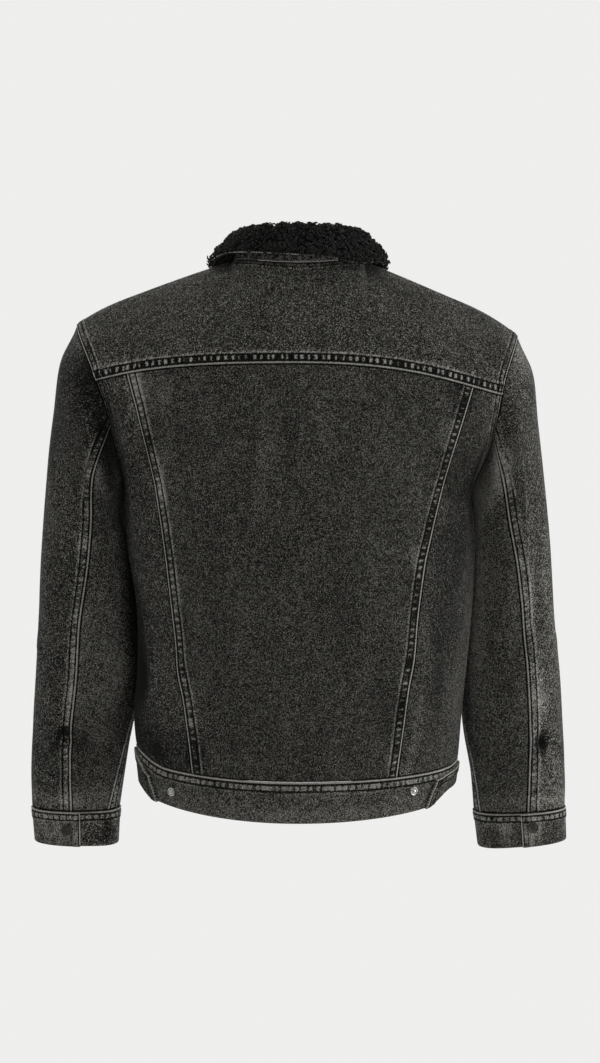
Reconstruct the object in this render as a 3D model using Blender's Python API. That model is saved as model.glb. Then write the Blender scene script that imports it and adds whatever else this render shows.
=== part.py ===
# Denim jacket with a fleece collar, filled out as if worn, with no wearer.
# Metres, +Z up.  The front faces -Y, the back faces +Y, the wearer's left arm is at +X.
# The origin is the middle of the neck opening at the height of the back neck seam.
import bpy
import numpy as np

for leftover in list(bpy.data.objects):
    bpy.data.objects.remove(leftover, do_unlink=True)

# ---------------------------------------------------------------- driving dimensions
CLOTH = 0.003            # wall of a denim piece with its seam allowance
GAP = 0.0003             # clearance between two pieces at a seam
NECK_HALF_WIDTH = 0.080
NECK_BACK_DEPTH = 0.055
NECK_FRONT_DEPTH = 0.088
NECK_SIDE_RISE = 0.012   # the neckline is this much higher at the shoulder than at the back
NECK_FRONT_DROP = 0.068
NECK_SHARE = 0.32        # share of a row's half length that the neckline takes
SHOULDER_BOW = 0.0075    # rise of the middle of the shoulder seam
FRONT_LAP = 0.080        # share by which each front passes the centre line
STAND_HEIGHT = 0.029
STAND_WALL = 0.0025
STAND_LEAN = 0.008       # the stand leans in by this much at the sides of the neck
FOLD_DROP = 0.23         # share by which the collar is lower there than at the back
BUTTON_RADIUS = 0.0085
CUFF_BUTTON_RADIUS = 0.0068
STUD_RADIUS = 0.0052
BUTTON_SEAT = 0.0005     # the front buttons stand this much clear on their rounded seats
TAB_OUT = 0.0001         # extra lift of a side tab over the waistband

# Rows of the body from the waist seam up to the yoke seam.  v: place of the row, 0 to 1.
# side x, y, z: where the row ends, on the side seam and then on the back armhole.
# reach: how square the row is; turn x, y, z: handle of the curve at its end.
UNDERARM = 0.70
BACK_ROWS = (
    # v,     mid y,  mid z,   left x, y,      z,       right x, y,     z,      reach, turn x, y,     z
    (0.00, 0.0950, -0.6140, 0.1985, -0.010, -0.5960, 0.1965, -0.010, -0.6040, 0.60, 0.000, 0.058, -0.004),
    (0.11, 0.1050, -0.5550, 0.2030, -0.009, -0.5460, 0.2020, -0.009, -0.5480, 0.60, 0.000, 0.062, 0.000),
    (0.25, 0.1100, -0.4850, 0.1965, 0.002, -0.4840, 0.2070, 0.002, -0.4840, 0.60, 0.000, 0.062, 0.000),
    (0.39, 0.1140, -0.4120, 0.1965, 0.004, -0.4120, 0.2135, 0.004, -0.4120, 0.60, 0.000, 0.062, 0.000),
    (0.54, 0.1170, -0.3360, 0.2080, 0.002, -0.3380, 0.2170, 0.002, -0.3380, 0.60, 0.000, 0.066, 0.000),
    (0.70, 0.1190, -0.2580, 0.2145, -0.010, -0.2700, 0.2140, -0.010, -0.2800, 0.60, 0.000, 0.072, 0.004),
    (0.81, 0.1200, -0.2080, 0.2225, 0.036, -0.2120, 0.2310, 0.036, -0.2240, 0.58, -0.022, 0.050, 0.004),
    (0.91, 0.1190, -0.1640, 0.2290, 0.060, -0.1720, 0.2370, 0.058, -0.1880, 0.56, -0.044, 0.042, 0.006),
    (1.00, 0.1165, -0.1290, 0.2390, 0.066, -0.1430, 0.2415, 0.065, -0.1600, 0.54, -0.060, 0.036, 0.010),
)
FRONT_ROWS = (
    (0.00, -0.1220, -0.6080, 0.1985, -0.010, -0.5960, 0.1965, -0.010, -0.6040, 0.60, 0.000, -0.058, -0.004),
    (0.11, -0.1340, -0.5500, 0.2030, -0.009, -0.5460, 0.2020, -0.009, -0.5480, 0.60, 0.000, -0.066, 0.000),
    (0.25, -0.1410, -0.4840, 0.1965, 0.002, -0.4840, 0.2070, 0.002, -0.4840, 0.60, 0.000, -0.070, 0.000),
    (0.39, -0.1450, -0.4120, 0.1965, 0.004, -0.4120, 0.2135, 0.004, -0.4120, 0.60, 0.000, -0.072, 0.000),
    (0.54, -0.1460, -0.3380, 0.2080, 0.002, -0.3380, 0.2170, 0.002, -0.3380, 0.60, 0.000, -0.074, 0.000),
    (0.70, -0.1430, -0.2640, 0.2145, -0.010, -0.2700, 0.2140, -0.010, -0.2800, 0.60, 0.000, -0.074, 0.004),
    (0.81, -0.1370, -0.2160, 0.2110, -0.060, -0.2120, 0.2130, -0.060, -0.2240, 0.58, -0.014, -0.044, 0.004),
    (0.91, -0.1300, -0.1750, 0.2140, -0.083, -0.1700, 0.2170, -0.083, -0.1840, 0.56, -0.040, -0.030, 0.006),
    (1.00, -0.1220, -0.1420, 0.2240, -0.084, -0.1340, 0.2260, -0.084, -0.1480, 0.54, -0.056, -0.020, 0.010),
)
# Handles of the surface where it comes up to the neckline and to the shoulder seam.
# s: share of the half row; then x, y, z of the handle on the back; the front's is turned round.
TOP_HANDLES = (
    (0.00, 0.000, -0.050, 0.110),
    (0.32, -0.012, -0.150, 0.070),
    (0.66, 0.006, -0.140, 0.062),
    (1.00, 0.020, -0.110, 0.060),
)
FRONT_HANDLE = (0.72, 0.36)  # size of the front's handles at the shoulder, and at the neckline
CAP_START = (0.95, 0.62)     # size of the lower handles: back, front
SHOULDER_POINT = ((0.2735, -0.002, -0.067), (0.2711, -0.002, -0.081))

# The lower edge of the waistband, as in the row tables: mid y, mid z, side x, y, z, reach, turn.
HEM_BACK = (0.0960, -0.6620, 0.1945, -0.010, -0.6390, 0.1915, -0.010, -0.6440, 0.60, 0.000, 0.057, -0.003)
HEM_FRONT = (-0.1200, -0.6540, 0.1945, -0.010, -0.6390, 0.1915, -0.010, -0.6440, 0.60, 0.000, -0.057, -0.003)

# Share of the half row at which the slanting back seam runs: v, left, right.
SLANT_SEAM = (
    (0.00, 0.514, 0.468),
    (0.25, 0.546, 0.503),
    (0.54, 0.630, 0.598),
    (0.80, 0.730, 0.735),
    (1.00, 0.820, 0.820),
)

# Rings of a sleeve below the armhole.  outer and inner: where the ring is widest, away from
# the body and against it; y: its middle; deep: half its depth; back, under: the angle in
# degrees of the back seam and of the under seam on that ring.
SLEEVE_LEFT = (
    # outer x, z,       inner x, z,      y,      deep,  back, under
    (0.2940, -0.1160, 0.2185, -0.3000, -0.017, 0.082, 112, 206),
    (0.3040, -0.1780, 0.2150, -0.3190, -0.021, 0.079, 106, 200),
    (0.3140, -0.2560, 0.2085, -0.3420, -0.026, 0.074, 103, 194),
    (0.3225, -0.3500, 0.2005, -0.3760, -0.031, 0.068, 96, 190),
    (0.3270, -0.4300, 0.1945, -0.4320, -0.035, 0.062, 87, 186),
    (0.3310, -0.5000, 0.1955, -0.5000, -0.036, 0.056, 85, 180),
    (0.3345, -0.5650, 0.2095, -0.5650, -0.034, 0.050, 86, 166),
    (0.3360, -0.6250, 0.2190, -0.6250, -0.031, 0.044, 89, 150),
    (0.3345, -0.6660, 0.2250, -0.6680, -0.029, 0.038, 91, 140),
)
SLEEVE_RIGHT = (
    (0.2880, -0.1300, 0.2190, -0.3080, -0.017, 0.082, 109, 206),
    (0.2975, -0.1860, 0.2190, -0.3260, -0.021, 0.079, 105, 200),
    (0.3070, -0.2600, 0.2180, -0.3480, -0.026, 0.074, 100, 194),
    (0.3165, -0.3500, 0.2150, -0.3780, -0.031, 0.068, 91, 190),
    (0.3225, -0.4300, 0.2105, -0.4320, -0.035, 0.062, 84, 186),
    (0.3300, -0.5000, 0.2060, -0.5000, -0.036, 0.056, 80, 180),
    (0.3335, -0.5650, 0.2090, -0.5650, -0.034, 0.050, 80, 172),
    (0.3360, -0.6250, 0.2180, -0.6250, -0.031, 0.044, 85, 160),
    (0.3355, -0.6660, 0.2215, -0.6720, -0.029, 0.038, 87, 152),
)
# Lower edge of a cuff: outer x, z, inner x, z, y, deep.
CUFF_LEFT = (0.3310, -0.7090, 0.2270, -0.7130, -0.029, 0.034)
CUFF_RIGHT = (0.3370, -0.7070, 0.2270, -0.7170, -0.029, 0.034)
CUFF_LAP = (72, 100, 150)  # degrees: hidden end, showing end, where the step inwards is over

# Largest folds.  where: back, front or a sleeve; a, b: middle of the fold; long, wide: its half
# sizes; slant: its turn; out: height, negative for a trough.  a is s and b is v on the body,
# on a sleeve a is the angle in degrees over 360 and b is the share of its length.
FOLDS = (
    ("back", 0.62, 0.22, 0.30, 0.050, -0.50, 0.0040),
    ("back", -0.66, 0.20, 0.28, 0.050, 0.55, 0.0045),
    ("back", 0.30, 0.12, 0.22, 0.060, -0.20, -0.0030),
    ("back", -0.25, 0.50, 0.34, 0.070, 0.10, -0.0025),
    ("back", 0.86, 0.78, 0.16, 0.050, 1.20, 0.0045),
    ("back", -0.86, 0.76, 0.16, 0.050, -1.20, 0.0045),
    ("front", 0.55, 0.18, 0.30, 0.060, -0.40, 0.0040),
    ("front", -0.55, 0.24, 0.30, 0.060, 0.45, 0.0040),
    ("front", 0.80, 0.74, 0.18, 0.060, 1.00, 0.0040),
    ("front", -0.80, 0.74, 0.18, 0.060, -1.00, 0.0040),
    ("left", 0.20, 0.30, 0.12, 0.050, 0.60, 0.0035),
    ("left", 0.32, 0.52, 0.14, 0.040, -0.50, -0.0040),
    ("left", 0.20, 0.86, 0.10, 0.030, 0.30, -0.0045),
    ("right", 0.17, 0.34, 0.06, 0.220, 0.00, 0.0040),
    ("right", 0.33, 0.55, 0.14, 0.040, 0.50, -0.0040),
    ("right", 0.19, 0.86, 0.10, 0.030, -0.30, -0.0055),
)

# Section of the collar leaf: out from the stand, height over the neck seam, and how much the
# point follows the leaf's edge.
LEAF_SECTION = (
    (-0.0095, 0.0310, 0.0),
    (-0.0110, 0.0400, 0.0),
    (-0.0060, 0.0485, 0.0),
    (0.0020, 0.0500, 0.0),
    (0.0090, 0.0455, 0.02),
    (0.0135, 0.0370, 0.15),
    (0.0160, 0.0270, 0.42),
    (0.0170, 0.0170, 0.72),
    (0.0165, 0.0090, 1.0),
    (0.0135, 0.0058, 1.0),
    (0.0095, 0.0068, 1.0),
    (0.0065, 0.0150, 0.72),
    (0.0050, 0.0240, 0.36),
    (0.0030, 0.0296, 0.0),
    (-0.0030, 0.0296, 0.0),
)
# How far the leaf's edge spreads out and drops: u from the back (0) to the front end (1).
LEAF_EDGE = (
    (0.00, 0.000, 0.000),
    (0.18, 0.003, 0.000),
    (0.34, 0.015, -0.004),
    (0.50, 0.023, -0.009),
    (0.70, 0.026, -0.012),
    (0.88, 0.030, -0.026),
    (1.00, 0.034, -0.040),
)

LEFT = 1
RIGHT = -1
SIDES = ((LEFT, "left"), (RIGHT, "right"))


# ---------------------------------------------------------------- colours
def material(name, colour, roughness, metallic):
    """A plain surface: colour, roughness and metal or not."""
    made = bpy.data.materials.new(name)
    made.use_nodes = True
    surface = made.node_tree.nodes["Principled BSDF"]
    surface.inputs["Base Color"].default_value = (*colour, 1.0)
    surface.inputs["Roughness"].default_value = roughness
    surface.inputs["Metallic"].default_value = metallic
    return made


DENIM = material("washed black denim", (0.036, 0.035, 0.031), 0.9, 0.0)
FLEECE = material("black fleece", (0.010, 0.010, 0.010), 1.0, 0.0)
STEEL = material("bright stud metal", (0.70, 0.70, 0.68), 0.28, 1.0)
BRONZE = material("dark button metal", (0.045, 0.036, 0.030), 0.5, 1.0)


# ---------------------------------------------------------------- small geometry helpers
def unit(vectors):
    """Vectors of length one."""
    length = np.linalg.norm(vectors, axis=-1, keepdims=True)
    return vectors / np.maximum(length, 1e-12)


def smooth_step(low, high, x):
    """0 below low, 1 above high, and a soft rise between them."""
    t = np.clip((x - low) / (high - low), 0.0, 1.0)
    return t * t * (3.0 - 2.0 * t)


def hermite(start, end, leave, arrive, t):
    """Curve from start to end that leaves and arrives along the two handles."""
    return (
        (2 * t**3 - 3 * t**2 + 1) * start
        + (t**3 - 2 * t**2 + t) * leave
        + (3 * t**2 - 2 * t**3) * end
        + (t**3 - t**2) * arrive
    )


def half_row(mid, side, reach, turn):
    """Points at equal steps along a curve from the centre line out to the side."""
    t = np.linspace(0.0, 1.0, 401)[:, None]
    first = np.array(mid) + np.array((side[0] * reach, 0.0, 0.0))
    second = np.array(side) + np.array(turn)
    curve = (
        (1 - t) ** 3 * np.array(mid)
        + 3 * (1 - t) ** 2 * t * first
        + 3 * (1 - t) * t**2 * second
        + t**3 * np.array(side)
    )
    return even_steps(curve)


def even_steps(curve, count=201):
    """The same curve with its points at equal distances."""
    along = np.concatenate(([0.0], np.cumsum(np.linalg.norm(np.diff(curve, axis=0), axis=1))))
    wanted = np.linspace(0.0, along[-1], count)
    return np.stack([np.interp(wanted, along, curve[:, k]) for k in range(3)], axis=1)


def full_row(mid_y, mid_z, lx, ly, lz, rx, ry, rz, reach, tx, ty, tz):
    """A row from the right side (s = -1) through the middle to the left side (s = 1)."""
    mid = (0.0, mid_y, mid_z)
    left = half_row(mid, (lx, ly, lz), reach, (tx, ty, tz))
    right = half_row(mid, (rx, ry, rz), reach, (tx, ty, tz)) * (-1, 1, 1)
    return np.concatenate((right[:0:-1], left))


def neck_and_shoulder(face):
    """The top row: half the neckline and both shoulder seams.  face is 1 on the back."""
    halves = []
    for side, name in SIDES:
        s = np.linspace(0.0, 1.0, 201)
        angle = np.pi / 2 * np.clip(s / NECK_SHARE, 0.0, 1.0)
        depth = NECK_BACK_DEPTH if face > 0 else NECK_FRONT_DEPTH
        drop = 0.0 if face > 0 else -NECK_FRONT_DROP
        neck = np.stack(
            (
                NECK_HALF_WIDTH * np.sin(angle),
                face * depth * np.cos(angle),
                drop + (NECK_SIDE_RISE - drop) * np.sin(angle) ** (2.0 if face > 0 else 1.6),
            ),
            axis=1,
        )
        start = np.array((NECK_HALF_WIDTH, 0.0, NECK_SIDE_RISE))
        end = np.array(SHOULDER_POINT[0 if side > 0 else 1])
        along = np.clip((s - NECK_SHARE) / (1 - NECK_SHARE), 0.0, 1.0)[:, None]
        seam = start + (end - start) * along
        bow = (4 * along * (1 - along)) ** 0.6 * (0.55 + 0.85 * along)
        seam[:, 2] += SHOULDER_BOW * bow[:, 0]
        half = np.where((s <= NECK_SHARE)[:, None], neck, seam)
        halves.append(half * (side, 1, 1))
    return np.concatenate((halves[1][:0:-1], halves[0]))


SPREAD = np.linspace(-1.0, 1.0, 401)


def lookup(table, s):
    """Values of a dense row at the places s, by straight lines between its points."""
    place = (np.clip(s, -1.0, 1.0) + 1.0) * (len(SPREAD) - 1) / 2
    low = np.minimum(place.astype(int), len(SPREAD) - 2)
    part = (place - low)[..., None]
    return table[low] * (1 - part) + table[low + 1] * part


class Sheet:
    """The back or the front of the body as one surface: s goes across, h goes up.
    h runs from 0 at the waist seam to 1 at the row under the shoulders and then on to 2
    at the neckline and the shoulder seams."""

    def __init__(self, rows, face):
        self.face = face
        self.name = "back" if face > 0 else "front"
        self.knots = np.array([row[0] for row in rows])
        self.rows = np.array([full_row(*row[1:]) for row in rows])
        slopes = np.diff(self.rows, axis=0) / np.diff(self.knots)[:, None, None]
        self.slope = np.concatenate((slopes[:1], (slopes[1:] + slopes[:-1]) / 2, slopes[-1:]))
        joint = int(np.argmin(np.abs(self.knots - UNDERARM)))
        self.slope[joint] = slopes[joint - 1]
        self.top = neck_and_shoulder(face)
        handle = np.array(TOP_HANDLES)
        half = np.stack([np.interp(np.abs(SPREAD), handle[:, 0], handle[:, k]) for k in (1, 2, 3)], 1)
        half[:, 0] *= np.sign(SPREAD)
        if face < 0:
            size = np.interp(np.abs(SPREAD), (0.0, NECK_SHARE), FRONT_HANDLE[::-1])[:, None]
            half = np.stack((-half[:, 0], -half[:, 1], half[:, 2] * 0.0 - half[:, 2]), 1) * size
            neck = np.clip(1 - np.abs(SPREAD) / NECK_SHARE, 0.0, 1.0)[:, None]
            half = half * (1 - neck) + np.array((0.0, 0.020, 0.060)) * neck
        self.arrive = half
        self.leave = self.slope[-1] * (1 - UNDERARM) * CAP_START[0 if face > 0 else 1]

    def plain(self, s, h):
        """The surface without its folds."""
        v = np.clip(h, 0.0, 1.0)
        low = np.clip(np.searchsorted(self.knots, v, side="right") - 1, 0, len(self.knots) - 2)
        out = np.zeros(np.shape(s) + (3,))
        for k in range(len(self.knots) - 1):
            here = low == k
            if here.any():
                wide = self.knots[k + 1] - self.knots[k]
                t = ((v[here] - self.knots[k]) / wide)[:, None]
                ends = [lookup(self.rows[k + i], s[here]) for i in (0, 1)]
                ways = [lookup(self.slope[k + i], s[here]) * wide for i in (0, 1)]
                out[here] = hermite(ends[0], ends[1], ways[0], ways[1], t)
        above = h > 1.0
        if above.any():
            t = (h[above] - 1.0)[:, None]
            start = lookup(self.rows[-1], s[above])
            end = lookup(self.top, s[above])
            leave = lookup(self.leave, s[above])
            # the handle that meets the shoulder seam points down the back, or down the front
            arrive = lookup(self.arrive, s[above])
            out[above] = hermite(start, end, leave, arrive, t)
        return out

    def normal_of(self, surface, s, h, step=0.004):
        """Outward direction, from the slopes of the surface across and up."""
        across = surface(np.clip(s + step, -1, 1), h) - surface(np.clip(s - step, -1, 1), h)
        up = surface(s, np.clip(h + step, 0, 2)) - surface(s, np.clip(h - step, 0, 2))
        return unit(np.cross(up, across)) * self.face

    def point(self, s, h):
        """The surface with its folds."""
        flat = self.plain(s, h)
        lift = folds(self.name, s, h)
        return flat + self.normal_of(self.plain, s, h) * lift[..., None]

    def normal(self, s, h):
        return self.normal_of(self.point, s, h)


def folds(where, a, b):
    """Sum of soft ridges and troughs, each a stretched bell over its middle."""
    total = np.zeros(np.shape(a))
    for place, at_a, at_b, long, wide, slant, out in FOLDS:
        if place == where:
            da = a - at_a
            db = b - at_b
            along = da * np.cos(slant) + db * np.sin(slant)
            cross = db * np.cos(slant) - da * np.sin(slant)
            total += out * np.exp(-((along / long) ** 2) - (cross / wide) ** 2)
    return total


# ---------------------------------------------------------------- walls
def pull_in(points, edge, distance):
    """Moves one edge of a grid a little towards the grid's inside."""
    index = {
        "first row": ((0,), (1,)),
        "last row": ((-1,), (-2,)),
        "first column": ((slice(None), 0), (slice(None), 1)),
        "last column": ((slice(None), -1), (slice(None), -2)),
    }[edge]
    rim = points[index[0]]
    points[index[0]] = rim + unit(points[index[1]] - rim) * distance


def wall(name, outer, inner, look):
    """A closed wall between two grids of points of one shape."""
    rows, columns = outer.shape[:2]
    count = rows * columns
    index = np.arange(count).reshape(rows, columns)
    faces = []
    a = index[:-1, :-1].ravel()
    b = index[:-1, 1:].ravel()
    c = index[1:, 1:].ravel()
    d = index[1:, :-1].ravel()
    faces.append(np.stack((a, b, c), 1))
    faces.append(np.stack((a, c, d), 1))
    faces.append(np.stack((a, c, b), 1) + count)
    faces.append(np.stack((a, d, c), 1) + count)
    points = np.concatenate((outer.reshape(-1, 3), inner.reshape(-1, 3)))
    # the rim's quads are split by place, so that both sides of a seam are split alike
    rim = np.concatenate((index[0, :-1], index[:-1, -1], index[-1, :0:-1], index[:0:-1, 0]))
    after = np.roll(rim, -1)
    key = np.abs(points) @ np.array((1.3, 0.0, 0.7)) + points @ np.array((0.0, 0.9, -1.4))
    rising = (key[rim] < key[after])[:, None]
    one = np.stack((after, rim, rim + count), 1)
    two = np.stack((after, rim + count, after + count), 1)
    three = np.stack((after, rim, after + count), 1)
    four = np.stack((rim, rim + count, after + count), 1)
    faces.append(np.where(rising, one, three))
    faces.append(np.where(rising, two, four))
    return solid(name, points, np.concatenate(faces), look)


def solid(name, points, faces, look):
    """A named object from points and triangles, with its faces turned outwards."""
    corner = points[faces]
    volume = np.einsum("ij,ij->i", corner[:, 0], np.cross(corner[:, 1], corner[:, 2])).sum()
    if volume < 0:
        faces = faces[:, ::-1]
    mesh = bpy.data.meshes.new(name)
    mesh.from_pydata(points.tolist(), [], faces.tolist())
    mesh.materials.append(look)
    mesh.validate()
    made = bpy.data.objects.new(name, mesh)
    bpy.context.scene.collection.objects.link(made)
    return made


def tube(name, sections, look):
    """A closed solid from a row of closed sections, with both ends capped by a fan."""
    count, around = sections.shape[:2]
    index = np.arange(count * around).reshape(count, around)
    after = np.roll(index, -1, axis=1)
    a = index[:-1].ravel()
    b = after[:-1].ravel()
    c = after[1:].ravel()
    d = index[1:].ravel()
    faces = [np.stack((a, b, c), 1), np.stack((a, c, d), 1)]
    start = count * around
    first = np.full(around, start)
    last = np.full(around, start + 1)
    faces.append(np.stack((after[0], index[0], first), 1))
    faces.append(np.stack((index[-1], after[-1], last), 1))
    ends = np.stack((sections[0].mean(0), sections[-1].mean(0)))
    points = np.concatenate((sections.reshape(-1, 3), ends))
    return solid(name, points, np.concatenate(faces), look)


# ---------------------------------------------------------------- body grids
BACK = Sheet(BACK_ROWS, 1)
FRONT = Sheet(FRONT_ROWS, -1)
LOW_CELLS = 9        # rows of cells from the waist seam to the underarm
ARM_CELLS = 6        # rows of cells from the underarm to the yoke seam
TOP_CELLS = 6        # rows of cells from the yoke seam to the shoulder seam
LOW_H = np.linspace(0.0, UNDERARM, LOW_CELLS + 1)
ARM_H = np.linspace(UNDERARM, 1.0, ARM_CELLS + 1)
TOP_H = np.linspace(1.0, 2.0, TOP_CELLS + 1)
BODY_H = np.concatenate((LOW_H, ARM_H[1:]))
MIDDLE_CELLS = 10    # columns of cells in half the centre back panel
SIDE_CELLS = 5       # columns of cells in a side back panel
NECK_CELLS = 4       # columns of cells in half the neckline
SLANT_TOP = 0.82


def slant_share(h, side):
    """Where the slanting seam is, as a share of the half row."""
    table = np.array(SLANT_SEAM)
    return np.interp(h, table[:, 0], table[:, 1 if side > 0 else 2])


def armhole_edge(sheet, side):
    """Points of the sheet's armhole edge from the underarm up to the shoulder point."""
    h = np.concatenate((ARM_H, TOP_H[1:]))
    s = np.full(h.shape, float(side))
    return sheet.point(s, h), sheet.normal(s, h)


def sleeve_ring(table, side):
    """Table rows as arrays: middle, half width vector, half depth and seam angles."""
    t = np.array(table)
    outer = np.stack((t[:, 0] * side, t[:, 4], t[:, 1]), 1)
    inner = np.stack((t[:, 2] * side, t[:, 4], t[:, 3]), 1)
    return (outer + inner) / 2, (outer - inner) / 2, t[:, 5]


def on_ring(middle, across, deep, angle):
    """Points on an oval ring: angle 0 is away from the body, 90 degrees is at the back."""
    squeeze = np.abs(np.cos(angle)) ** 0.92 * np.sign(np.cos(angle))
    swell = np.abs(np.sin(angle)) ** 0.92 * np.sign(np.sin(angle))
    return middle + across * squeeze[..., None] + np.array((0, 1, 0)) * (deep * swell)[..., None]


ARM_RING = 4 * 6     # columns of cells around a sleeve
TOP_INDEX = 0        # the shoulder point
BACK_INDEX = 9       # armhole point where the back seam of the sleeve starts
UNDER_INDEX = 13     # armhole point where the under seam of the sleeve starts


class Sleeve:
    """One sleeve.  Columns go round from the shoulder point down the back, past the underarm
    and up the front; rows go from the armhole to the cuff seam."""

    def __init__(self, side, name, table):
        self.side = side
        self.name = name
        self.table = np.array(table)
        back, back_normal = armhole_edge(BACK, side)
        front, front_normal = armhole_edge(FRONT, side)
        self.hole = np.concatenate((back[::-1], front[1:-1]))
        self.hole_normal = np.concatenate((back_normal[::-1], front_normal[1:-1]))
        self.hole_normal[TOP_INDEX] = unit(back_normal[-1] + front_normal[-1])
        self.hole_normal[ARM_CELLS + TOP_CELLS] = unit(back_normal[0] + front_normal[0])
        self.middle, self.across, self.deep = sleeve_ring(table, side)
        self.column = np.arange(ARM_RING + 1)
        self.rings = self.key_rings()
        self.seam_strip()

    def angles(self, back, under):
        """Angle of each column when the two seams lie at the given angles."""
        known = (0, BACK_INDEX, UNDER_INDEX, ARM_RING)
        return np.radians(np.interp(self.column, known, (0, back, under, 360)))

    def key_rings(self):
        """The armhole and the rings of the table, as points by column."""
        rings = [np.concatenate((self.hole, self.hole[:1]))]
        for k, row in enumerate(self.table):
            angle = self.angles(row[6], row[7])
            rings.append(on_ring(self.middle[k], self.across[k], self.deep[k], angle))
        return np.array(rings)

    def seam_strip(self):
        """The shared direction of the armhole rims, so that body and sleeve meet at a mitre."""
        hole = self.rings[0]
        around = unit(np.roll(self.hole, -1, axis=0) - np.roll(self.hole, 1, axis=0))
        away = self.rings[1][:-1] - self.hole
        outward = unit(np.cross(around, away))
        centre = self.rings[1][:-1].mean(0)
        sign = np.sign((outward * (self.rings[1][:-1] - centre)).sum(1))
        outward *= sign[:, None]
        mean = self.hole_normal + outward
        mean -= around * (mean * around).sum(1)[:, None]
        self.mitre = unit(mean)
        aside = unit(np.cross(around, self.mitre))
        aside *= np.sign((aside * away).sum(1))[:, None]
        self.aside = aside
        self.rings[0] = hole + np.concatenate((aside, aside[:1])) * GAP

    def knots(self):
        """Place of each key ring along the sleeve, from 0 to 1."""
        step = np.linalg.norm(np.diff(self.rings.mean(1), axis=0), axis=1)
        step[0] = max(step[0], 0.03)
        return np.concatenate(([0.0], np.cumsum(step))) / step.sum()

    def points(self, along, column):
        """Smooth curve through the key rings, at places along the sleeve and at columns."""
        knots = self.knots()
        whole = column.astype(int)
        part = (column - whole)[..., None]
        after = np.minimum(whole + 1, ARM_RING)
        slopes = np.diff(self.rings, axis=0) / np.diff(knots)[:, None, None]
        slope = np.concatenate((slopes[:1], (slopes[1:] + slopes[:-1]) / 2, slopes[-1:]))
        out = np.zeros(np.shape(along) + (3,))
        low = np.clip(np.searchsorted(knots, along, side="right") - 1, 0, len(knots) - 2)
        for k in range(len(knots) - 1):
            here = low == k
            if here.any():
                wide = knots[k + 1] - knots[k]
                t = ((along[here] - knots[k]) / wide)[:, None]
                a, b, f = whole[here], after[here], part[here]
                ends = [self.rings[k + i][a] * (1 - f) + self.rings[k + i][b] * f for i in (0, 1)]
                ways = [(slope[k + i][a] * (1 - f) + slope[k + i][b] * f) * wide for i in (0, 1)]
                out[here] = hermite(ends[0], ends[1], ways[0], ways[1], t)
        return out

    def grid(self, along, column):
        """Outer and inner points of a part of the sleeve."""
        place, around = np.meshgrid(along, column, indexing="ij")
        flat = self.points(place, around)
        normal = self.normals(place, around)
        share = around / ARM_RING
        fade = smooth_step(0.0, 0.12, place) * smooth_step(1.0, 0.94, place)
        flat = flat + normal * (folds(self.name, share, place) * fade)[..., None]
        inner = flat - normal * CLOTH
        if along[0] == 0.0:
            ring = (column.astype(int)) % ARM_RING
            inner[0] = flat[0] - self.mitre[ring] * CLOTH
        return flat, inner

    def normals(self, place, around):
        step = 0.004
        up = self.points(np.clip(place + step, 0, 1), around)
        up -= self.points(np.clip(place - step, 0, 1), around)
        right = np.minimum(around + 0.5, ARM_RING)
        left = np.maximum(around - 0.5, 0)
        across = self.points(place, right) - self.points(place, left)
        return unit(np.cross(across, up)) * -self.side * self.turn()

    def turn(self):
        return 1.0


SLEEVES = {
    LEFT: Sleeve(LEFT, "left", SLEEVE_LEFT),
    RIGHT: Sleeve(RIGHT, "right", SLEEVE_RIGHT),
}


def body_inner(sheet, s, h, outer):
    """Inner points of a body panel, mitred along the armhole."""
    inner = outer - sheet.normal(s, h) * CLOTH
    for side, name in SIDES:
        sleeve = SLEEVES[side]
        heights = np.concatenate((ARM_H, TOP_H[1:]))
        for column in (0, -1):
            if np.allclose(s[:, column], side):
                for row in range(s.shape[0]):
                    if h[row, column] >= UNDERARM - 1e-6:
                        k = int(np.argmin(np.abs(heights - h[row, column])))
                        ring = ARM_CELLS + TOP_CELLS - k
                        if sheet.face < 0:
                            ring = ARM_CELLS + TOP_CELLS + k
                        mitre = sleeve.mitre[ring % ARM_RING]
                        inner[row, column] = outer[row, column] - mitre * CLOTH
    return inner


def body_panel(name, sheet, s, h, pulls):
    """A panel from places on the sheet, with the named edges drawn back from their seams."""
    outer = sheet.point(s, h)
    for edge in pulls:
        pull_in(outer, edge, GAP / 2)
    return wall(name, outer, body_inner(sheet, s, h, outer), DENIM)


def half_columns(side_top):
    """Shares of the half row from the centre line to the side, at the yoke seam."""
    neck = np.linspace(0.0, NECK_SHARE, NECK_CELLS + 1)
    rest = np.linspace(NECK_SHARE, SLANT_TOP, MIDDLE_CELLS - NECK_CELLS + 1)
    middle = np.concatenate((neck, rest[1:]))
    outside = np.linspace(SLANT_TOP, 1.0, SIDE_CELLS + 1)
    return np.concatenate((middle, outside[1:])) * side_top


# centre back panel, between the two slanting seams
h = np.repeat(BODY_H[:, None], 2 * MIDDLE_CELLS + 1, axis=1)
middle_share = half_columns(1.0)[: MIDDLE_CELLS + 1] / SLANT_TOP
share = np.concatenate((-middle_share[:0:-1], middle_share))[None, :]
reach = np.where(share > 0, slant_share(h, LEFT), slant_share(h, RIGHT))
body_panel("back_centre", BACK, share * reach, h, ("first row", "last row", "first column", "last column"))

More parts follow.
